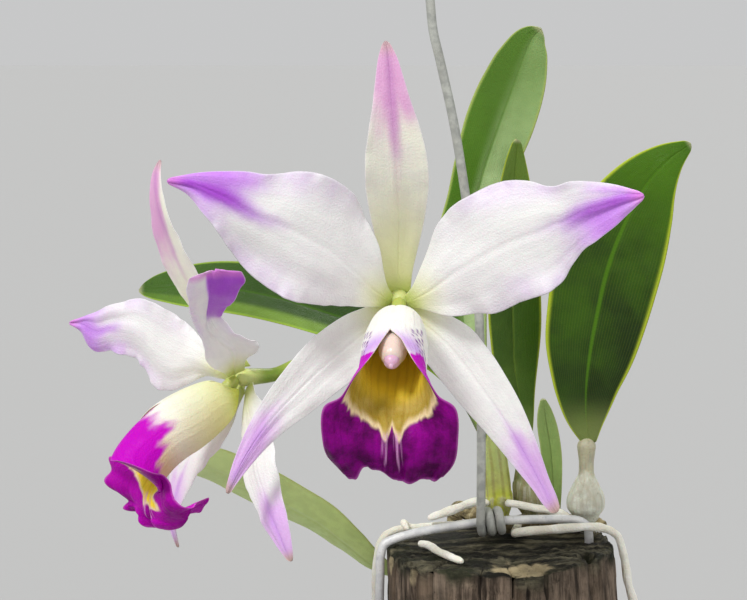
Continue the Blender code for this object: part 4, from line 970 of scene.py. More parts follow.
sheet, t, v, _ = blade_sheet(SHEATH_SPINE, (1, 0, 0), SHEATH_OUTLINE, (24, 24), 1, 60, 33)
body = SHEATH_THICKNESS / 2 * np.sqrt(np.clip(1 - np.abs(v) ** 5, 0, 1)) + 0 * t
sheath = skin("flower_sheath_paper", thick_rings(sheet, body, body))
stand_for(sheath, "flower_sheath", stalk_green)

# The sepals and petals: thin, soft and sparkling white, flushed with violet from the
# tip down the midline, yellow-green at the foot. Three sepals stand behind two
# broad, ruffled petals, and the second flower is half turned away.
TEPAL_THICKNESS = 0.9
TEPAL_ROWS = 124
TEPAL_COLUMNS = 61
VEIN_HEIGHT = 0.014
# Outlines: place along the blade, offset of its middle, half width
PETAL_LEFT = [
    (0.0, -1.2, 1.4), (0.05, -0.9, 2.4), (0.1, -0.5, 4.1), (0.18, 0.8, 7.6), (0.26, 1.7, 10.1),
    (0.34, 2.8, 12.1), (0.41, 3.0, 12.8), (0.49, 3.1, 12.9), (0.55, 3.0, 12.4), (0.60, 2.7, 11.4),
    (0.65, 2.3, 9.8), (0.70, 2.2, 8.3), (0.76, 2.6, 6.7), (0.84, 2.4, 4.6), (0.91, 1.9, 2.7),
    (1.0, 0.0, 0.6),
]
PETAL_RIGHT = [
    (0.0, -1.2, 1.4), (0.05, -1.1, 2.5), (0.1, -0.8, 4.6), (0.17, 0.0, 7.5), (0.25, 1.1, 10.1),
    (0.34, 1.7, 12.0), (0.43, 2.3, 12.2), (0.51, 2.4, 12.3), (0.57, 2.2, 12.0), (0.62, 2.1, 11.0),
    (0.66, 2.3, 9.5), (0.695, 2.0, 8.1), (0.725, 2.1, 7.2), (0.78, 2.3, 6.6), (0.86, 1.8, 5.0),
    (0.93, 1.2, 3.1), (1.0, 0.2, 0.7),
]
DORSAL = [
    (0.0, 0.0, 2.5), (0.08, -0.1, 3.0), (0.17, -0.3, 4.0), (0.27, -0.5, 5.1), (0.38, -0.6, 6.0),
    (0.48, -0.7, 6.5), (0.57, -0.7, 6.4), (0.68, -0.6, 5.4), (0.78, -0.4, 4.0), (0.87, -0.2, 2.9),
    (0.95, 0.0, 1.8), (1.0, 0.2, 0.6),
]
LATERAL_LEFT = [
    (0.0, 0.0, 2.4), (0.08, 0.3, 3.8), (0.15, 0.7, 5.4), (0.25, 1.6, 6.2), (0.35, 2.4, 6.2),
    (0.45, 2.9, 5.6), (0.54, 3.2, 5.0), (0.63, 3.4, 4.1), (0.72, 3.2, 3.2), (0.81, 2.6, 2.4),
    (0.9, 1.6, 1.6), (0.96, 0.7, 1.0), (1.0, 0.0, 0.6),
]
LATERAL_RIGHT = [
    (0.0, 0.0, 2.4), (0.08, 0.8, 3.9), (0.15, 1.7, 5.2), (0.22, 2.5, 5.9), (0.32, 2.9, 6.0),
    (0.45, 2.9, 5.6), (0.57, 2.8, 4.9), (0.68, 2.3, 4.0), (0.78, 1.6, 3.1), (0.87, 0.9, 2.2),
    (0.95, 0.3, 1.7), (1.0, 0.0, 1.0),
]
PETAL_FAR = [
    (0.0, 0.0, 2.2), (0.08, -0.7, 2.2), (0.13, -1.3, 2.9), (0.2, -2.3, 4.7), (0.28, -2.1, 6.9),
    (0.36, -1.4, 9.0), (0.44, -1.7, 9.9), (0.50, -2.4, 9.6), (0.56, -3.7, 8.4), (0.62, -4.4, 7.3),
    (0.70, -4.1, 6.3), (0.77, -3.1, 5.9), (0.84, -1.5, 5.9), (0.89, -1.3, 4.8), (0.93, -1.4, 3.0),
    (0.97, -0.6, 1.5), (1.0, 0.0, 0.6),
]
PETAL_CREASED = [
    (0.0, 0.0, 2.2), (0.06, 0.6, 2.8), (0.13, 1.9, 4.8), (0.2, 2.8, 6.0), (0.27, 3.0, 6.2),
    (0.34, 2.2, 5.0), (0.42, 1.2, 3.6), (0.52, 0.3, 3.0), (0.62, 0.2, 3.4), (0.72, 0.8, 4.4),
    (0.82, 1.6, 5.7), (0.92, 2.1, 6.6), (1.0, 1.9, 5.6),
]
LATERAL_PLAIN = [
    (0.0, 0.0, 2.2), (0.08, 0.0, 3.2), (0.16, 0.0, 4.8), (0.26, 0.0, 5.8), (0.38, 0.0, 6.1),
    (0.5, 0.0, 5.8), (0.6, 0.0, 5.3), (0.7, 0.0, 4.5), (0.8, 0.0, 3.6), (0.89, 0.0, 2.5),
    (0.96, 0.0, 1.4), (1.0, 0.0, 0.6),
]
# Bends: place along the blade, rise off the straight line
ARCH = [(0.0, 0.0), (0.1, 1.7), (0.25, 3.6), (0.5, 4.2), (0.75, 2.9), (1.0, 0.0)]
HIGH_ARCH = [(0.0, 0.0), (0.1, 0.0), (0.25, 0.9), (0.38, 2.9), (0.55, 4.9), (0.75, 4.2), (1.0, 0.0)]
FLAT = [(0.0, 0.0), (0.3, 0.8), (0.6, 1.0), (1.0, 0.0)]


def spread(direction, reach, lean, layer, bends):
    """The spine and side of a tepal that opens from the flower's foot.

    The direction is seen from the front, the lean is the tip's way forward, the layer
    is the foot's depth, and the bends raise the spine off the straight line.
    """
    a = math.radians(direction)
    start = FOOT_RADIUS - 0.9
    foot = np.array([start * math.cos(a), layer, start * math.sin(a)])
    tip = np.array([reach * math.cos(a), layer - lean, reach * math.sin(a)])
    side = np.array([-math.sin(a), 0.0, math.cos(a)])
    rise = unit(np.cross(tip - foot, side))
    t = np.linspace(0, 1, 9)
    lift = through(*zip(*bends), t)
    return foot + (tip - foot) * t[:, None] + rise * lift[:, None], side


# Spine and side, outline, mirror, fold of each half, wave (height, number, phase), kind
TEPALS_1 = {
    "dorsal_sepal": (
        *spread(92.9, 53.7, 17.2, 2.4, HIGH_ARCH), DORSAL, 1, (7, 7), (0.3, 1.5, 0.0), "dorsal"),
    "petal_left": (
        *spread(150.7, 53.3, 17.0, 0.75, ARCH), PETAL_LEFT, -1, (-4, -4), (1.0, 2.6, 0.4), "petal"),
    "petal_right": (
        *spread(25.2, 53.8, 17.0, 0.75, ARCH), PETAL_RIGHT, 1, (-4, -4), (0.9, 2.4, 1.4), "petal"),
    "lateral_sepal_left": (
        *spread(228.7, 55.2, 0.5, 2.1, FLAT), LATERAL_LEFT, -1, (6, 6), (0.3, 1.0, 0.0), "lateral"),
    "lateral_sepal_right": (
        *spread(-53.6, 56.7, 0.5, 2.1, FLAT), LATERAL_RIGHT, 1, (6, 6), (0.3, 1.0, 2.0), "lateral"),
}
TEPALS_2 = {
    "dorsal_sepal": ([
        (-0.1, 2.4, 2.6), (-0.9, -0.6, 7.2), (-1.4, -5.2, 13.0), (-1.3, -9.3, 19.1),
        (-1.1, -13.0, 25.5), (-0.6, -16.0, 31.9), (-0.1, -18.1, 37.8), (0.0, -19.0, 43.1),
        (-0.3, -18.6, 47.0), (-0.4, -17.8, 49.4),
    ], (-0.97, -0.12, 0.0), DORSAL, 1, (6, 6), (0.3, 1.5, 1.0), "dorsal"),
    "petal_left": ([
        (-2.5, 0.75, 0.4), (-6.9, -4.4, 0.9), (-11.9, -8.2, 1.8), (-16.9, -11.3, 3.2),
        (-22.0, -14.1, 4.6), (-27.7, -17.9, 5.6), (-32.4, -21.5, 7.0), (-36.6, -25.4, 10.0),
    ], (-0.1, 0.0, -1.0), PETAL_FAR, 1, (-6, -16), (0.6, 2.4, 2.0), "petal"),
    "petal_right": ([
        (1.2, -0.9, 1.6), (3.3, -4.3, 5.3), (5.8, -7.9, 9.1), (9.5, -11.6, 13.3), (13.7, -14.2, 17.9),
        (17.9, -16.3, 22.9), (21.2, -17.6, 27.6),
    ], (0.5, 0.866, -0.15), PETAL_CREASED, 1, (-34, 10), (0.6, 2.2, 0.0), "petal"),
    "lateral_sepal_left": ([
        (-1.5, 2.1, -2.2), (-6.0, 0.4, -8.2), (-11.5, -1.6, -14.1), (-16.0, -3.7, -20.1),
        (-19.1, -5.2, -26.4), (-20.9, -6.2, -32.6), (-21.2, -6.7, -37.4), (-19.7, -6.1, -42.4),
    ], (0.87, 0.0, -0.5), LATERAL_PLAIN, -1, (6, 6), (0.3, 1.0, 1.0), "lateral"),
    "lateral_sepal_right": ([
        (1.5, 2.1, -2.1), (4.7, 0.6, -5.4), (8.9, -0.5, -9.2), (12.8, -1.8, -13.0), (16.6, -3.2, -17.3),
        (19.9, -3.5, -21.5), (23.5, -3.4, -26.6), (25.9, -2.2, -31.5), (27.3, -0.8, -36.0),
    ], [(0.81, 0.05, 0.59), (0.7, 0.35, 0.5)], LATERAL_PLAIN, 1, (-4, -4), (0.3, 1.0, 0.0), "lateral"),
}
# How strongly each of these is flushed, where the others are at 1
FLUSH_DEPTH = {"flower_1_petal_right": 0.84, "flower_2_petal_left": 0.82}
# How far the flush leans to one half of the blade
FLUSH_LEAN = {
    "flower_1_petal_left": -0.09, "flower_1_petal_right": -0.10, "flower_2_petal_left": 0.10,
    "flower_2_dorsal_sepal": 0.25,
}
# Where the flush and its midline stripe begin along the blade, the wash at the edges, the
# stripe's strength, and how far the green foot reaches
FLUSH = {
    "petal": (0.56, 0.40, 0.9, 0.9, 0.24),
    "dorsal": (0.50, 0.28, 0.2, 0.62, 0.60),
    "lateral": (0.46, 0.34, 0.3, 0.5, 0.24),
}
# Height of the broad crimps, the small crimps and the puckers, and depth of the midline groove
PETAL_RELIEF = (1.15, 0.42, 0.42, 0.20)
PETAL_FAR_RELIEF = (1.15, 0.42, 0.42, 0.05)
SEPAL_RELIEF = (0.35, 0.12, 0.20, 0.16)


def in_place(points, middle, turn):
    """Points in a flower's own frame, turned about the vertical and moved to its middle."""
    cos, sin = math.cos(math.radians(turn)), math.sin(math.radians(turn))
    x, y, z = points[..., 0], points[..., 1], points[..., 2]
    return np.stack([x * cos - y * sin, x * sin + y * cos, z], axis=-1) + middle


def build_tepal(node, middle, turn, spine, side, outline, mirror, fold, wave, kind, seed):
    """A soft, ruffled blade.

    Height off the folded sheet = the long wave + small crimps that grow to the margin
    + veins that fan from the foot; the thickness falls from the midrib to the margin.
    """
    points, t, v, _ = blade_sheet(spine, side, outline, fold, mirror, TEPAL_ROWS, TEPAL_COLUMNS)
    usual = PETAL_RELIEF if kind == "petal" else SEPAL_RELIEF
    broad, small, puckers, groove = PETAL_FAR_RELIEF if outline is PETAL_FAR else usual
    height, waves, phase = wave
    ruffle = height * np.sin(math.tau * waves * t + phase + 0.9 * v) * v * v
    ruffle = ruffle * np.sin(math.pi * np.clip(t, 0, 1)) ** 0.5
    crimp = broad * rough(t * 13, v * 1.2 + 5, (14, 9), seed) * np.abs(v) ** 3
    crimp = crimp + small * rough(t * 33, v * 2 + 5, (34, 9), seed + 1) * np.abs(v) ** 5
    crimp = crimp * np.sin(math.pi * np.clip(t, 0.02, 0.98)) ** 0.7
    pucker = puckers * rough(t * 6, v * 3 + 8, (8, 20), seed + 2)
    fan = 34 * v * (0.6 + 0.4 * t) + 3 * rough(t * 4, v * 2 + 4, (6, 9), seed + 3)
    fan = VEIN_HEIGHT * np.sin(fan) * fade(0.03, 0.2, t)
    points = points + faced(points) * (ruffle + crimp + pucker * fade(0.05, 0.3, t) + fan)[..., None]
    edge = np.sqrt(np.clip(1 - np.abs(v) ** 8, 0, 1)) * (0.40 + 0.60 * (1 - np.abs(v)))
    body = TEPAL_THICKNESS / 2 * edge * (0.55 + 0.45 * np.clip((1 - t) / 0.08, 0, 1) ** 0.5)
    groove = groove * bump_at(v, 0, 0.05) * fade(0.0, 0.1, t) * (1 - fade(0.85, 1.0, t))
    keel = 0.35 * bump_at(v, 0, 0.09) * (1 - 0.8 * t)

    flush_at, stripe_at, wash, strength, green_to = FLUSH[kind]
    depth = FLUSH_DEPTH.get(node, 1.0)
    stray = 0.05 * rough(t * 9, v * 3 + 6, (10, 14), seed + 4)
    width = 0.12 + 0.36 * fade(stripe_at, 1.0, t)
    reach = t + stray - 0.07 * np.abs(v) + FLUSH_LEAN.get(node, 0) * v
    flush = depth * fade(flush_at, flush_at + 0.36, reach)
    stripe = strength * depth * bump_at(v, 0, width) * fade(stripe_at, stripe_at + 0.44, t + stray)
    if outline is PETAL_FAR:
        stripe = 0.5 * stripe
    if outline is PETAL_CREASED:
        crease = -0.32 * fade(0.6, 1.0, t)
        flush = flush * (0.15 + 0.85 * fade(crease - 0.10, crease + 0.02, v))
        stripe = 0.85 * fade(crease - 0.06, crease + 0.06, v) * fade(0.48, 0.66, t + stray)
    return blade_skin(f"{node}_blade", in_place(points, middle, turn), body - groove, body + keel, t, v, {
        "flush": flush,
        "stripe": stripe,
        "wash": wash * fade(0.35, 1.0, np.abs(v)) * fade(0.18, 0.5, t),
        "foot": 1 - fade(0.02, green_to, t + 0.06 * np.abs(v)),
        "heart": 1 - fade(0.0, 0.09, t),
        "vein": 0.5 + fan / (2 * VEIN_HEIGHT),
        "tip": fade(0.93, 1.0, t),
        "rim": fade(0.95, 1.0, np.abs(v)),
    })


def tepal_finish(kind, body, flush, stripe, wash, tip):
    """Soft white tissue with the violet flush, the darker midline and the green foot."""
    material, tree = finish(f"{kind}_white", 0.52, Subsurface_Weight=0.22, Subsurface_Scale=0.0015,
                            Subsurface_Radius=(1.0, 0.7, 0.8), Sheen_Weight=0.12, Sheen_Roughness=0.4)
    height, mottle = living(tree, 2600.0, 0.35)
    line = veins(tree, 150.0, 0.05)
    cloud = noise(tree, 170, 4.0)
    washed = times(tree, mark(tree, "wash"), ranged(tree, cloud, 0.30, 0.66, 0.25, 1.0))
    drift = times(tree, worked(tree, "SUBTRACT", cloud, 0.5), 0.5)
    flushed = plus(tree, mark(tree, "flush"), drift)
    striped = plus(tree, mark(tree, "stripe"), times(tree, drift, 0.8))
    base = layered(
        tree, body,
        (mottle, 0.22, srgb(226, 222, 226)),
        (line, 0.03, srgb(222, 214, 226)),
        ("vein", 0.05, srgb(206, 204, 208)),
        (washed, 0.58, wash),
        (ranged(tree, flushed, 0.0, 1.0, 0.0, 0.92), 1.0, flush),
        (ranged(tree, striped, 0.05, 1.05, 0.0, 0.9), 1.0, stripe),
        ("tip", 0.75, tip),
        ("foot", 0.80, srgb(220, 222, 142)),
        ("heart", 0.75, srgb(186, 202, 84)),
        ("rim", 0.5, srgb(246, 240, 246)),
    )
    both = plus(tree, height, times(tree, line, 0.06))
    return feed(material, Base_Color=base, Normal=relief(tree, both, 0.00016),
                Roughness=ranged(tree, mottle, 0.0, 1.0, 0.46, 0.58))


TEPAL_FINISHES = {
    "petal": tepal_finish("petal", srgb(246, 244, 241), srgb(204, 128, 240), srgb(164, 40, 204),
                          srgb(216, 178, 234), srgb(236, 140, 226)),
    "dorsal": tepal_finish("dorsal", srgb(248, 245, 226), srgb(226, 164, 212), srgb(198, 130, 196),
                           srgb(240, 236, 198), srgb(214, 178, 170)),
    "lateral": tepal_finish("lateral", srgb(248, 248, 242), srgb(224, 176, 236), srgb(192, 132, 222),
                            srgb(228, 226, 214), srgb(206, 172, 128)),
}
FLOWERS = (("flower_1", FLOWER_1, FLOWER_1_TURN, TEPALS_1), ("flower_2", FLOWER_2, FLOWER_2_TURN, TEPALS_2))
seed = 200
for name, middle, turn, tepals in FLOWERS:
    for label, (*shape, kind) in tepals.items():
        node = f"{name}_{label}"
        seed += 10
        piece = build_tepal(node, middle, turn, *shape, kind, seed)
        stand_for(piece, node, TEPAL_FINISHES[kind])

# The lips: each a single sheet that wraps the column as a tube, white outside and
# yellow within, and opens into a ruffled magenta lobe. The column stands inside it
# and ends in a small pinkish cap over the pollen.
LIP_LEAN = -0.085
LIP_ROWS = 200
LIP_COLUMNS = 131
# Forward, height of the keel, tilt of the section, half width, half turn, sweep
LIP = np.array([
    (0.5, -3.0, 0.0, 1.8, 40.0, 0.0), (1.0, -5.4, 4.0, 5.0, 110.0, 0.0), (1.7, -8.0, 8.0, 9.0, 150.0, 0.0),
    (3.6, -10.2, 17.0, 15.9, 177.0, 0.0), (6.6, -12.7, 22.0, 18.9, 179.0, 0.0),
    (10.2, -15.1, 25.0, 20.2, 178.0, 0.0), (13.2, -16.7, 28.0, 18.6, 164.0, 0.0),
    (15.8, -18.6, 31.0, 16.9, 146.0, 0.0), (18.0, -20.8, 37.0, 17.4, 128.0, 0.2),
    (19.8, -23.0, 46.0, 14.6, 87.0, 1.2), (20.9, -25.6, 58.0, 15.1, 51.0, 3.8),
    (20.9, -28.8, 76.0, 13.9, 22.0, 3.4), (19.6, -32.0, 94.0, 12.6, -6.0, 1.6),
    (17.9, -34.8, 108.0, 10.3, -14.0, 0.2),
])
COLUMN_SIDES = 48
# Forward, height and radius of the column, and of the cap at its end
COLUMN = [
    (1.1, -0.8, 1.5), (2.5, -2.2, 1.7), (4.4, -4.2, 1.8), (8.0, -5.8, 2.4), (13.0, -7.0, 2.9),
    (17.2, -8.2, 3.0), (18.6, -8.7, 2.5),
]
CAP = [(19.1, -9.3, 1.2), (19.7, -9.6, 1.6), (20.6, -10.0, 1.6), (21.3, -10.4, 1.1), (21.6, -10.6, 0.6)]
# Place along the lip, half turn, half width and sweep of the second lip's near side, which
# wraps over the top as far as its front corner and then rolls back under the lobe
NEAR_SIDE_2 = np.array([
    (4.0, 173.0, 18.4, 0.0), (5.0, 172.0, 20.4, 0.0), (6.0, 178.0, 20.6, 0.0), (7.0, 192.0, 21.0, -0.4),
    (7.6, 198.0, 21.3, -1.6), (8.1, 198.0, 21.6, -3.6), (8.5, 180.0, 20.6, -4.6), (8.9, 140.0, 19.0, -2.4),
    (9.3, 68.0, 18.0, 1.2), (9.6, 45.0, 13.0, 4.0), (9.9, 18.0, 11.8, 4.5), (10.3, 2.0, 12.6, 3.6),
    (10.7, -12.0, 13.6, 3.6), (11.1, -42.0, 15.0, 5.0), (11.5, -76.0, 16.3, 6.4), (11.9, -110.0, 17.2, 6.0),
    (12.4, -120.0, 16.4, 3.6), (12.8, -120.0, 12.8, 1.4), (13.0, -115.0, 10.0, 2.0),
])
# Pale lines down the lobe: place across, where each ends, strength
PALE_LINES = (
    (-0.13, 12.0, 0.6), (-0.085, 12.9, 0.8), (0.04, 11.6, 0.5), (0.09, 12.9, 0.9), (0.14, 12.5, 0.6),
)
# Rows of violet dashes on the tube: place across
DASH_ROWS = (0.66, 0.72, 0.78)
DASHES = 12


def build_lip(name, middle, turn, near_side, seed):
    """Arcs of a circle about a keel that runs forward and down.

    The place along it, k, counts the rows of the lip's table. At a share v of the half
    width, aside = radius * sin(v * turn) and up = radius * (1 - cos(v * turn)), tilted;
    the sweep draws the sides back, and ruffles grow towards the free edge of the lobe.
    """
    rolled = near_side is not None
    k = np.linspace(0, len(LIP) - 1, LIP_ROWS)[:, None]
    even = np.linspace(-1, 1, LIP_COLUMNS)[None, :]
    v = 0.75 * even + 0.25 * np.sin(even * math.pi / 2)
    side = np.abs(v)
    forward, height, tilt, half, bend, sweep = (through(np.arange(len(LIP)), column, k) for column in LIP.T)
    way = unit(np.gradient(np.concatenate([forward, height], axis=1), axis=0))
    if rolled:
        half, bend = (each * (1 - 0.24 * bump_at(k, 8.3, 1.5)) for each in (half, bend))
        near = (through(near_side[:, 0], column, np.maximum(k, 4)) for column in near_side.T[1:])
        here = (v > 0) & (k > 4)
        bend, half, sweep = (np.where(here, n, o) for n, o in zip(near, (bend, half, sweep)))
    tilt, bend = np.radians(tilt), np.radians(bend)
    bend = np.where(np.abs(bend) < 0.02, 0.02, bend)
    wrap = 1 + 0.06 * ((v < 0) if rolled else (v > 0)) * fade(2.5, 3.5, k) * (1 - fade(5.2, 6.2, k))
    squash = 1 if rolled else 1 - 0.06 * bump_at(k, 8.5, 0.9)
    bend = bend * wrap
    aside = half * wrap / bend * np.sin(v * bend)
    up = squash * half * wrap / bend * (1 - np.cos(v * bend))
    lobe = fade(8.5, 12.5, k)
    frill = 0.22 * sweep * np.sin(7.5 * v + forward) * v * v
    frill = frill + lobe * side ** 3 * (1.4 * rough(v * 7 + 9, k / 2.4, (18, 9), seed))
    frill = frill + fade(11.0, 13.0, k) * 0.8 * rough(v * 6 + 9, k * 0, (18, 3), seed + 1)
    frill = frill + lobe * 0.35 * np.cos(17 * v + 0.5) * side ** 0.5 * fade(9.5, 12, k)
    notch = 3.4 * fade(-0.74, -0.56, v) * (1 - fade(-0.30, 0.20, v))
    if rolled:
        frill = frill + (0.9 + 1.5 * (v < 0)) * lobe * side ** 3 * np.sin(5.2 * k + 5 * v)
        frill = frill + 1.1 * fade(11, 13, k) * np.sin(11 * v)
        notch = 3.0 + 1.2 * np.sin(9 * v + 1)
    frill = frill + 0.35 * lobe * rough(v * 15 + 20, k / 1.7, (40, 12), seed + 2)
    back = sweep * v * v + fade(10.8, 13.0, k) * notch
    folds = 0.30 * np.cos(v * 30) * bump_at(v, 0, 0.22) * fade(3.0, 6.0, k) * (1 - fade(11.5, 13.0, k))
    rise = up + frill - folds
    f = forward + rise * np.sin(tilt) - back * way[:, :1]
    z = height + rise * np.cos(tilt) - back * way[:, 1:]
    points = in_place(np.stack([aside + LIP_LEAN * f, -f, z], axis=2), middle, turn)
    thin = np.sqrt(np.clip(1 - side ** 10, 0, 1)) * (0.55 + 0.45 * (1 - side))
    thin = TEPAL_THICKNESS / 2 * thin * (0.45 + 0.55 * np.clip((13 - k) / 1.2, 0, 1) ** 0.5)

    drift = 0.10 * rough(v * 12 + 20, k * 1.6, (40, 24), seed + 3)
    drift = drift + 0.05 * rough(v * 30 + 40, k * 4, (90, 60), seed + 4)
    tongue, width = (1.1, 0.24) if rolled else (0.40, 0.34)
    edge = 8.95 + tongue * bump_at(side, 0, width) + 0.75 * bump_at(side, 0.10, 0.048)
    edge = edge + (0.10 * rough(v * 26 + 40, k * 0 + 3, (90, 7), seed + 7) + 0.5 * drift)
    edge = edge - 0.5 * bump_at(v, 0.0, 0.022)
    inner_magenta = fade(edge - 0.95, edge + 0.45, k)
    inner_magenta = np.maximum(inner_magenta, fade(0.88, 0.96, side) * fade(7.2, 7.8, k))
    # The throat mask brightens the gold of the tube's deep back, which lies in shade: painted light.
    throat = (1 - fade(6.2, 8.0, k)) * (1 - 0.3 * side)
    start = np.where(side > 0.72, 6.85 - 2.3 * (1 - side), 6.2 + 6.5 * (0.72 - side))
    ochre = fade(7.4, 9.0, k) * (1 - fade(0.45, 0.8, side))
    soft, green_to = 0.35, 3.6
    if rolled:
        # On the second lip the painted light in the throat runs on into its front.
        throat = np.maximum(throat, fade(8.4, 9.0, k))
        streak = bump_at(v, -0.46 + 0.40 * (k - 8.8), 0.17) * fade(8.5, 9.0, k) * (1 - fade(10.2, 10.9, k))
        inner_magenta = inner_magenta * (1 - np.clip(1.3 * streak, 0, 1))
        start = 5.3 + 8.0 * np.clip(0.64 - side, 0, 1) + 0.5 * rough(v * 16 + 20, k * 0.5, (44, 12), seed + 8)
        ochre = (0.30 * fade(2.2, 4.2, k) + 0.55 * fade(6.0, 8.0, k)) * (1 - fade(0.50, 0.80, side))
        soft, green_to = 2.8, 8.2
    pale = 0 * thin
    for line, end, strength in PALE_LINES:
        run = fade(9.2, 9.9, k) * (1 - fade(end - 1.6, end, k))
        pale = pale + strength * bump_at(v, line * (0.7 + 0.16 * (k - 9)), 0.016) * run
    dashes = 0 * thin
    rng = np.random.default_rng(seed + 5)
    for number in range(DASHES):
        at, off = 4.7 + 0.20 * number + rng.uniform(-0.06, 0.06), rng.uniform(-0.012, 0.012)
        for row in DASH_ROWS:
            size = rng.uniform(0.05, 0.09)
            dashes = dashes + bump_at(k, at + 4 * (row - 0.7), size) * bump_at(side, row + off, 0.015)
    dark = lobe * (0.5 + 0.5 * rough(v * 5 + 9, k / 2, (18, 9), seed + 6))
    return blade_skin(f"{name}_lip_sheet", points, thin, thin, k / 13, v, {
        "inside": (1, 0),
        "throat_painted_light": (throat, 0),
        "lining": (fade(0.70, 0.88, side) * (1 - fade(6.9, 7.9, k)), 0),
        "ochre": (0, ochre),
        "magenta": (inner_magenta, fade(-0.15, soft, k - start + 1.6 * drift)),
        "pale": (pale, 0),
        "patch": (0, 0 if rolled else bump_at(k, 6.25, 0.75) * fade(0.62, 0.85, side)),
        "dash": (0, 0 if rolled else np.clip(dashes, 0, 1)),
        "foot": 1 - fade(1.0, green_to, k + 2.0 * (side - 0.5)),
        "base": 1 - fade(1.6, 3.0, k),
        # The second lip's lobe is painted brighter magenta: painted light on a lobe that faces down, away
        # from the light.
        "lobe_painted_light": rolled * fade(7.5, 9.5, k) * (0.75 + 0.25 * np.sin(9 * v + k)),
        "deep": (1 - 0.7 * rolled) * dark,
        "rim": np.maximum(fade(0.96, 1.0, side) * fade(7, 8, k), fade(12.75, 13.0, k)),
    }, sewn=True)


def lip_finish():
    """Velvet magenta with darker veins, a yellow throat with a pale fringe, and a white tube; painted light
    brightens the throat's shaded depth and the second lip's lobe.
    """
    material, tree = finish("magenta_lip", 0.5, Subsurface_Weight=0.1, Subsurface_Scale=0.001,
                            Specular_IOR_Level=0.09)
    height, mottle = living(tree, 2600.0, 0.4)
    line = veins(tree, 120.0, 0.05)
    cloud = noise(tree, 260, 4.0)
    patches = ranged(tree, cloud, 0.3, 0.7)
    white = layered(
        tree, srgb(248, 246, 238),
        (mottle, 0.35, srgb(232, 228, 222)),
        ("foot", 0.85, srgb(214, 214, 84)),
        ("patch", 0.85, srgb(200, 150, 226)),
        ("dash", 1.0, srgb(112, 34, 140)),
        ("ochre", 0.85, srgb(210, 172, 84)),
    )
    # On the second lip, the lobe's magenta is brightened with painted light where it faces away from the
    # light.
    magenta = layered(
        tree, mixed(tree, patches, srgb(82, 0, 74), srgb(150, 0, 142)),
        ("deep", 0.75, srgb(60, 0, 54)),
        (line, 0.10, srgb(66, 0, 66)),
        ("lobe_painted_light", 0.6, srgb(206, 0, 196)),
    )
    # Painted light: the gold is brightened where the throat lies in shade.
    gold = layered(
        tree, mixed(tree, patches, srgb(166, 140, 46), srgb(190, 164, 84)),
        ("throat_painted_light", 0.9, srgb(255, 222, 60)),
        (line, 0.16, srgb(150, 108, 20)),
        ("lining", 1.0, srgb(240, 226, 226)),
    )
    drift = times(tree, worked(tree, "SUBTRACT", cloud, 0.5), 0.35)
    edge = plus(tree, mark(tree, "magenta"), drift)
    pale = plus(tree, mark(tree, "pale"), times(tree, drift, 0.5))
    inner = layered(
        tree, gold,
        (ranged(tree, edge, 0.05, 0.68), 1.0, srgb(232, 208, 164)),
        (ranged(tree, edge, 0.66, 0.94), 1.0, magenta),
        (ranged(tree, pale, 0.15, 0.9, 0.0, 0.8), 1.0, srgb(214, 150, 204)),
    )
    outer = mixed(tree, ranged(tree, edge, 0.15, 0.60), white, mixed(tree, 0.85, magenta, srgb(206, 0, 200)))
    base = layered(
        tree, mixed(tree, mark(tree, "inside"), outer, inner),
        ("base", 1.0, srgb(206, 212, 96)),
        ("rim", 0.5, srgb(214, 120, 206)),
    )
    both = plus(tree, height, times(tree, line, 0.25))
    return feed(material, Base_Color=base, Normal=relief(tree, both, 0.0002),
                Roughness=ranged(tree, mottle, 0.0, 1.0, 0.44, 0.6))


def inner_route(rows, step):
    """A route inside the lip, leaning with it: its points, its radii and its shares of the way."""
    route = smooth_route([(LIP_LEAN * forward, -forward, z, radius) for forward, z, radius in rows], step)
    return route[:, :3], route[:, 3:], np.linspace(0, 1, len(route))[:, None]


def build_column(name, middle, turn):
    """The column: a stout tube, flat below, with a wing down each side, widest near its end."""
    route, radius, share = inner_route(COLUMN, 0.25)
    a = math.tau * round_turn(COLUMN_SIDES)
    radius = radius * (1 + 0.05 * np.cos(2 * a) * fade(0.3, 0.9, share) + 0.02 * np.sin(6 * a))
    rings = in_place(tube_rings(route, radius.T, COLUMN_SIDES), middle, turn)
    marks = {"end": over_ends(fade(0.55, 1.0, share)), "foot": over_ends(1 - fade(0.05, 0.30, share))}
    return skin(f"{name}_column_body", rings, marks)


def build_cap(name, middle, turn):
    """The anther cap: a small helmet with a groove down its middle."""
    route, radius, share = inner_route(CAP, 0.12)
    a = math.tau * round_turn(COLUMN_SIDES)
    radius = radius * (1 - 0.10 * bump_at(np.abs(a - math.pi), math.pi / 2, 0.25) * fade(0.1, 0.4, share))
    return skin(f"{name}_anther_cap_shell", in_place(tube_rings(route, radius.T, COLUMN_SIDES), middle, turn))


def column_finish(name, base_colour, end_colour, marked):
    """Smooth, waxy tissue with a faint blush; a marked piece blushes to its end and is green at its foot."""
    material, tree = finish(name, 0.38, Subsurface_Weight=0.25, Subsurface_Scale=0.0015, Coat_Weight=0.15)
    height, mottle = living(tree, 3000.0)
    base = mixed(tree, mark(tree, "end"), base_colour, end_colour) if marked else base_colour
    base = layered(tree, base, (mottle, 0.3, end_colour))
    if marked:
        base = mixed(tree, mark(tree, "foot"), base, srgb(180, 190, 92))
    return feed(material, Base_Color=base, Normal=relief(tree, height, 0.0001))


magenta_lip = lip_finish()
column_cream = column_finish("column_cream", srgb(246, 240, 222), srgb(232, 208, 196), True)
cap_pink = column_finish("anther_cap_pink", srgb(226, 184, 208), srgb(204, 150, 190), False)
for number, (name, middle, turn, _) in enumerate(FLOWERS):
    near_side = NEAR_SIDE_2 if number else None
    lip = build_lip(name, middle, turn, near_side, 400 + 10 * number)
    stand_for(lip, f"{name}_lip", magenta_lip)
    stand_for(build_column(name, middle, turn), f"{name}_column", column_cream)
    stand_for(build_cap(name, middle, turn), f"{name}_anther_cap", cap_pink)

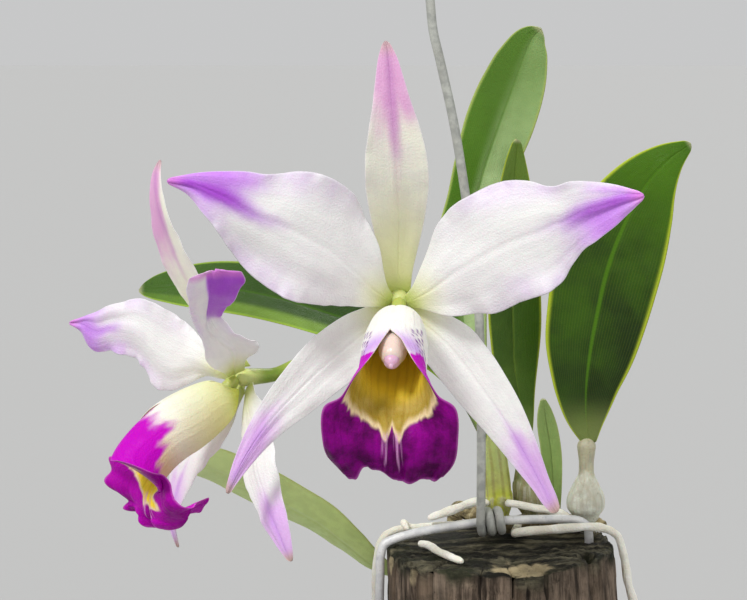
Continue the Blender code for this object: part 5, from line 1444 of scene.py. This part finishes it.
# The aerial roots: blunt cords with a spongy, matt, cream skin that grips the log,
# wrinkled lengthwise where dry.
ROOTS = {
    "root_1": ([
        (2.9, 4.5, 129.9), (5.6, 3.7, 129.7), (9.0, 3.5, 129.0), (12.7, 3.6, 128.4), (15.6, 3.7, 127.4),
        (17.2, 4.0, 125.8), (17.8, 4.2, 123.8),
    ], 0.95),
    "root_2": ([
        (5.4, 6.2, 124.2), (4.6, 3.6, 123.5), (4.2, 0.6, 123.5), (4.4, -2.0, 124.3), (6.4, -3.2, 124.9),
        (10.0, -3.6, 125.3), (16.8, -3.4, 125.8), (21.4, -2.7, 125.9), (24.6, -1.7, 125.4),
        (27.9, -0.6, 123.6), (29.8, 0.0, 118.6), (31.0, 0.3, 112.0), (32.7, 0.5, 105.6),
        (33.4, 0.8, 98.0), (32.6, 1.4, 90.0), (31.6, 2.2, 83.0),
    ], 1.0),
    "root_3": ([
        (-1.8, 9.4, 124.6), (-4.6, 7.4, 124.6), (-9.0, 5.2, 124.6), (-14.5, 4.0, 124.5),
        (-19.2, 3.7, 124.2), (-23.2, 3.4, 123.8), (-25.8, 3.0, 122.8), (-27.6, 2.4, 120.2),
        (-28.4, 2.0, 115.6), (-28.6, 1.8, 108.0), (-28.8, 2.2, 99.0), (-28.6, 3.0, 91.0),
    ], 0.9),
    "root_4": ([
        (-17.9, -3.0, 122.0), (-16.0, -6.0, 122.2), (-14.4, -9.6, 121.9), (-12.7, -13.0, 121.9),
        (-11.2, -16.2, 122.0), (-9.3, -19.0, 121.9),
    ], 0.9),
    "root_5": ([
        (-2.3, 6.3, 129.6), (-4.4, 5.4, 130.1), (-6.6, 4.6, 129.7), (-9.8, 3.6, 128.7),
        (-13.0, 2.6, 127.8), (-15.6, 2.0, 127.0),
    ], 1.05),
    "root_6": ([
        (9.3, 14.4, 124.0), (10.8, 17.8, 123.7), (13.0, 21.6, 123.4), (14.6, 24.8, 122.9),
        (15.8, 26.4, 120.6), (16.0, 26.6, 114.0), (15.4, 27.0, 104.0), (14.0, 27.4, 94.0),
        (13.4, 27.6, 86.0),
    ], 0.95),
    "root_7": ([
        (-1.9, 21.8, 123.2), (0.3, 23.6, 123.1), (1.7, 26.2, 122.9), (2.3, 27.9, 120.4),
        (2.3, 28.0, 113.0), (1.2, 27.9, 103.0),
    ], 0.9),
}
ROOT_3_BRANCH = [(-20.8, 3.9, 124.5), (-21.8, 2.4, 125.7), (-21.9, 0.9, 125.9), (-21.2, -0.1, 125.0)]
BRANCH_RADIUS = 0.8
BRANCH_CUBE = 0.22
ROOT_STEP = 0.5
ROOT_SIDES = 22


def root_rings(points, radius, seed):
    """A lumpy tube with lengthwise wrinkles that narrows to a blunt tip."""
    route = smooth_route(points, ROOT_STEP)
    run = (np.arange(len(route)) * ROOT_STEP)[:, None]
    left, turn = run[-1] - run, round_turn(ROOT_SIDES)
    lumps = 0.10 * rough(run / 3.1, run * 0, (60, 3), seed)
    lumps = lumps + 0.07 * rough(turn * 5, run / 1.3, (5, 120), seed + 1)
    wrinkles = 0.045 * rough(turn * 15, run / 4, (15, 60), seed + 2)
    body = radius * (1 - 0.28 * np.exp(-left / 0.8)) * (1 - 0.12 * np.exp(-run / 1.2))
    return tube_rings(route, (body + lumps + wrinkles).T, ROOT_SIDES)


def root_finish():
    """Matt cream skin, with tan dirt in soft patches and small specks here and there."""
    material, tree = finish("root_skin", 0.85, Subsurface_Weight=0.08, Subsurface_Scale=0.001)
    height, mottle = living(tree, 2000.0, 0.8)
    patch = noise(tree, 140, 4.0)
    base = mixed(tree, ranged(tree, patch, 0.38, 0.66), srgb(252, 250, 238), srgb(236, 232, 212))
    base = layered(tree, base, (mottle, 0.3, srgb(252, 250, 238)))
    colour, _ = weathered(tree, base, srgb(168, 152, 118), 260.0, 0.20)
    return feed(material, Base_Color=colour, Normal=relief(tree, height, 0.0003))


root_skin = root_finish()
for number, (node, (points, radius)) in enumerate(ROOTS.items()):
    piece = skin(f"{node}_cord", root_rings(points, radius, 500 + 9 * number))
    if node == "root_3":
        branch = skin("root_3_branch", root_rings(ROOT_3_BRANCH, BRANCH_RADIUS, 590))
        piece = grown_together("root_3_cord", [piece, branch], BRANCH_CUBE)
    stand_for(piece, node, root_skin)

# The view: the photograph's angle, over a plain pale floor, in the soft light of three
# wide suns and an even, pale sky.
IMAGE_WIDTH = 747
FOCAL_PIXELS = 2007.6
SENSOR = 36.0
CAMERA_AT = (-29.06, -461.9, 235.7)
CAMERA_PITCH = 7.0
# In metres, far beyond the edge of any view
FLOOR_SIZE = 80.0
# Degrees round from the front, degrees above the floor, strength, and degrees of softness
SUNS = {"key": (-40, 46, 2.05, 14), "fill": (48, 22, 0.45, 50), "rim": (160, 38, 0.80, 24)}


def floor():
    """A flat, plain ground."""
    mesh = bpy.data.meshes.new("floor")
    h = FLOOR_SIZE / 2
    mesh.from_pydata([(-h, -h, 0), (h, -h, 0), (h, h, 0), (-h, h, 0)], [], [(0, 1, 2, 3)])
    piece = bpy.data.objects.new("floor", mesh)
    scene.collection.objects.link(piece)
    material, _ = finish("floor_plain", 0.9, Base_Color=srgb(176, 176, 175), Specular_IOR_Level=0.2)
    mesh.materials.append(material)


def soft_sun(name, azimuth, elevation, strength, softness):
    """An even, soft light from a direction."""
    light = bpy.data.lights.new(name, "SUN")
    light.energy = strength
    light.angle = math.radians(softness)
    lamp = bpy.data.objects.new(name, light)
    lamp.rotation_euler = (math.radians(90 - elevation), 0.0, math.radians(azimuth))
    scene.collection.objects.link(lamp)


floor()
for name, settings in SUNS.items():
    soft_sun(name, *settings)
world = bpy.data.worlds.new("studio")
world.use_nodes = True
sky = world.node_tree.nodes["Background"].inputs
sky["Color"].default_value = (0.99, 0.995, 1.0, 1.0)
sky["Strength"].default_value = 0.58
scene.world = world
scene.view_settings.view_transform = "Standard"

camera = bpy.data.cameras.new("camera")
camera.sensor_width = SENSOR
camera.lens = SENSOR * FOCAL_PIXELS / IMAGE_WIDTH
camera.clip_start = 0.01
camera.clip_end = 120.0
viewer = bpy.data.objects.new("camera", camera)
viewer.location = np.array(CAMERA_AT) * MM
viewer.rotation_euler = (math.radians(90 - CAMERA_PITCH), 0.0, 0.0)
scene.collection.objects.link(viewer)
scene.camera = viewer
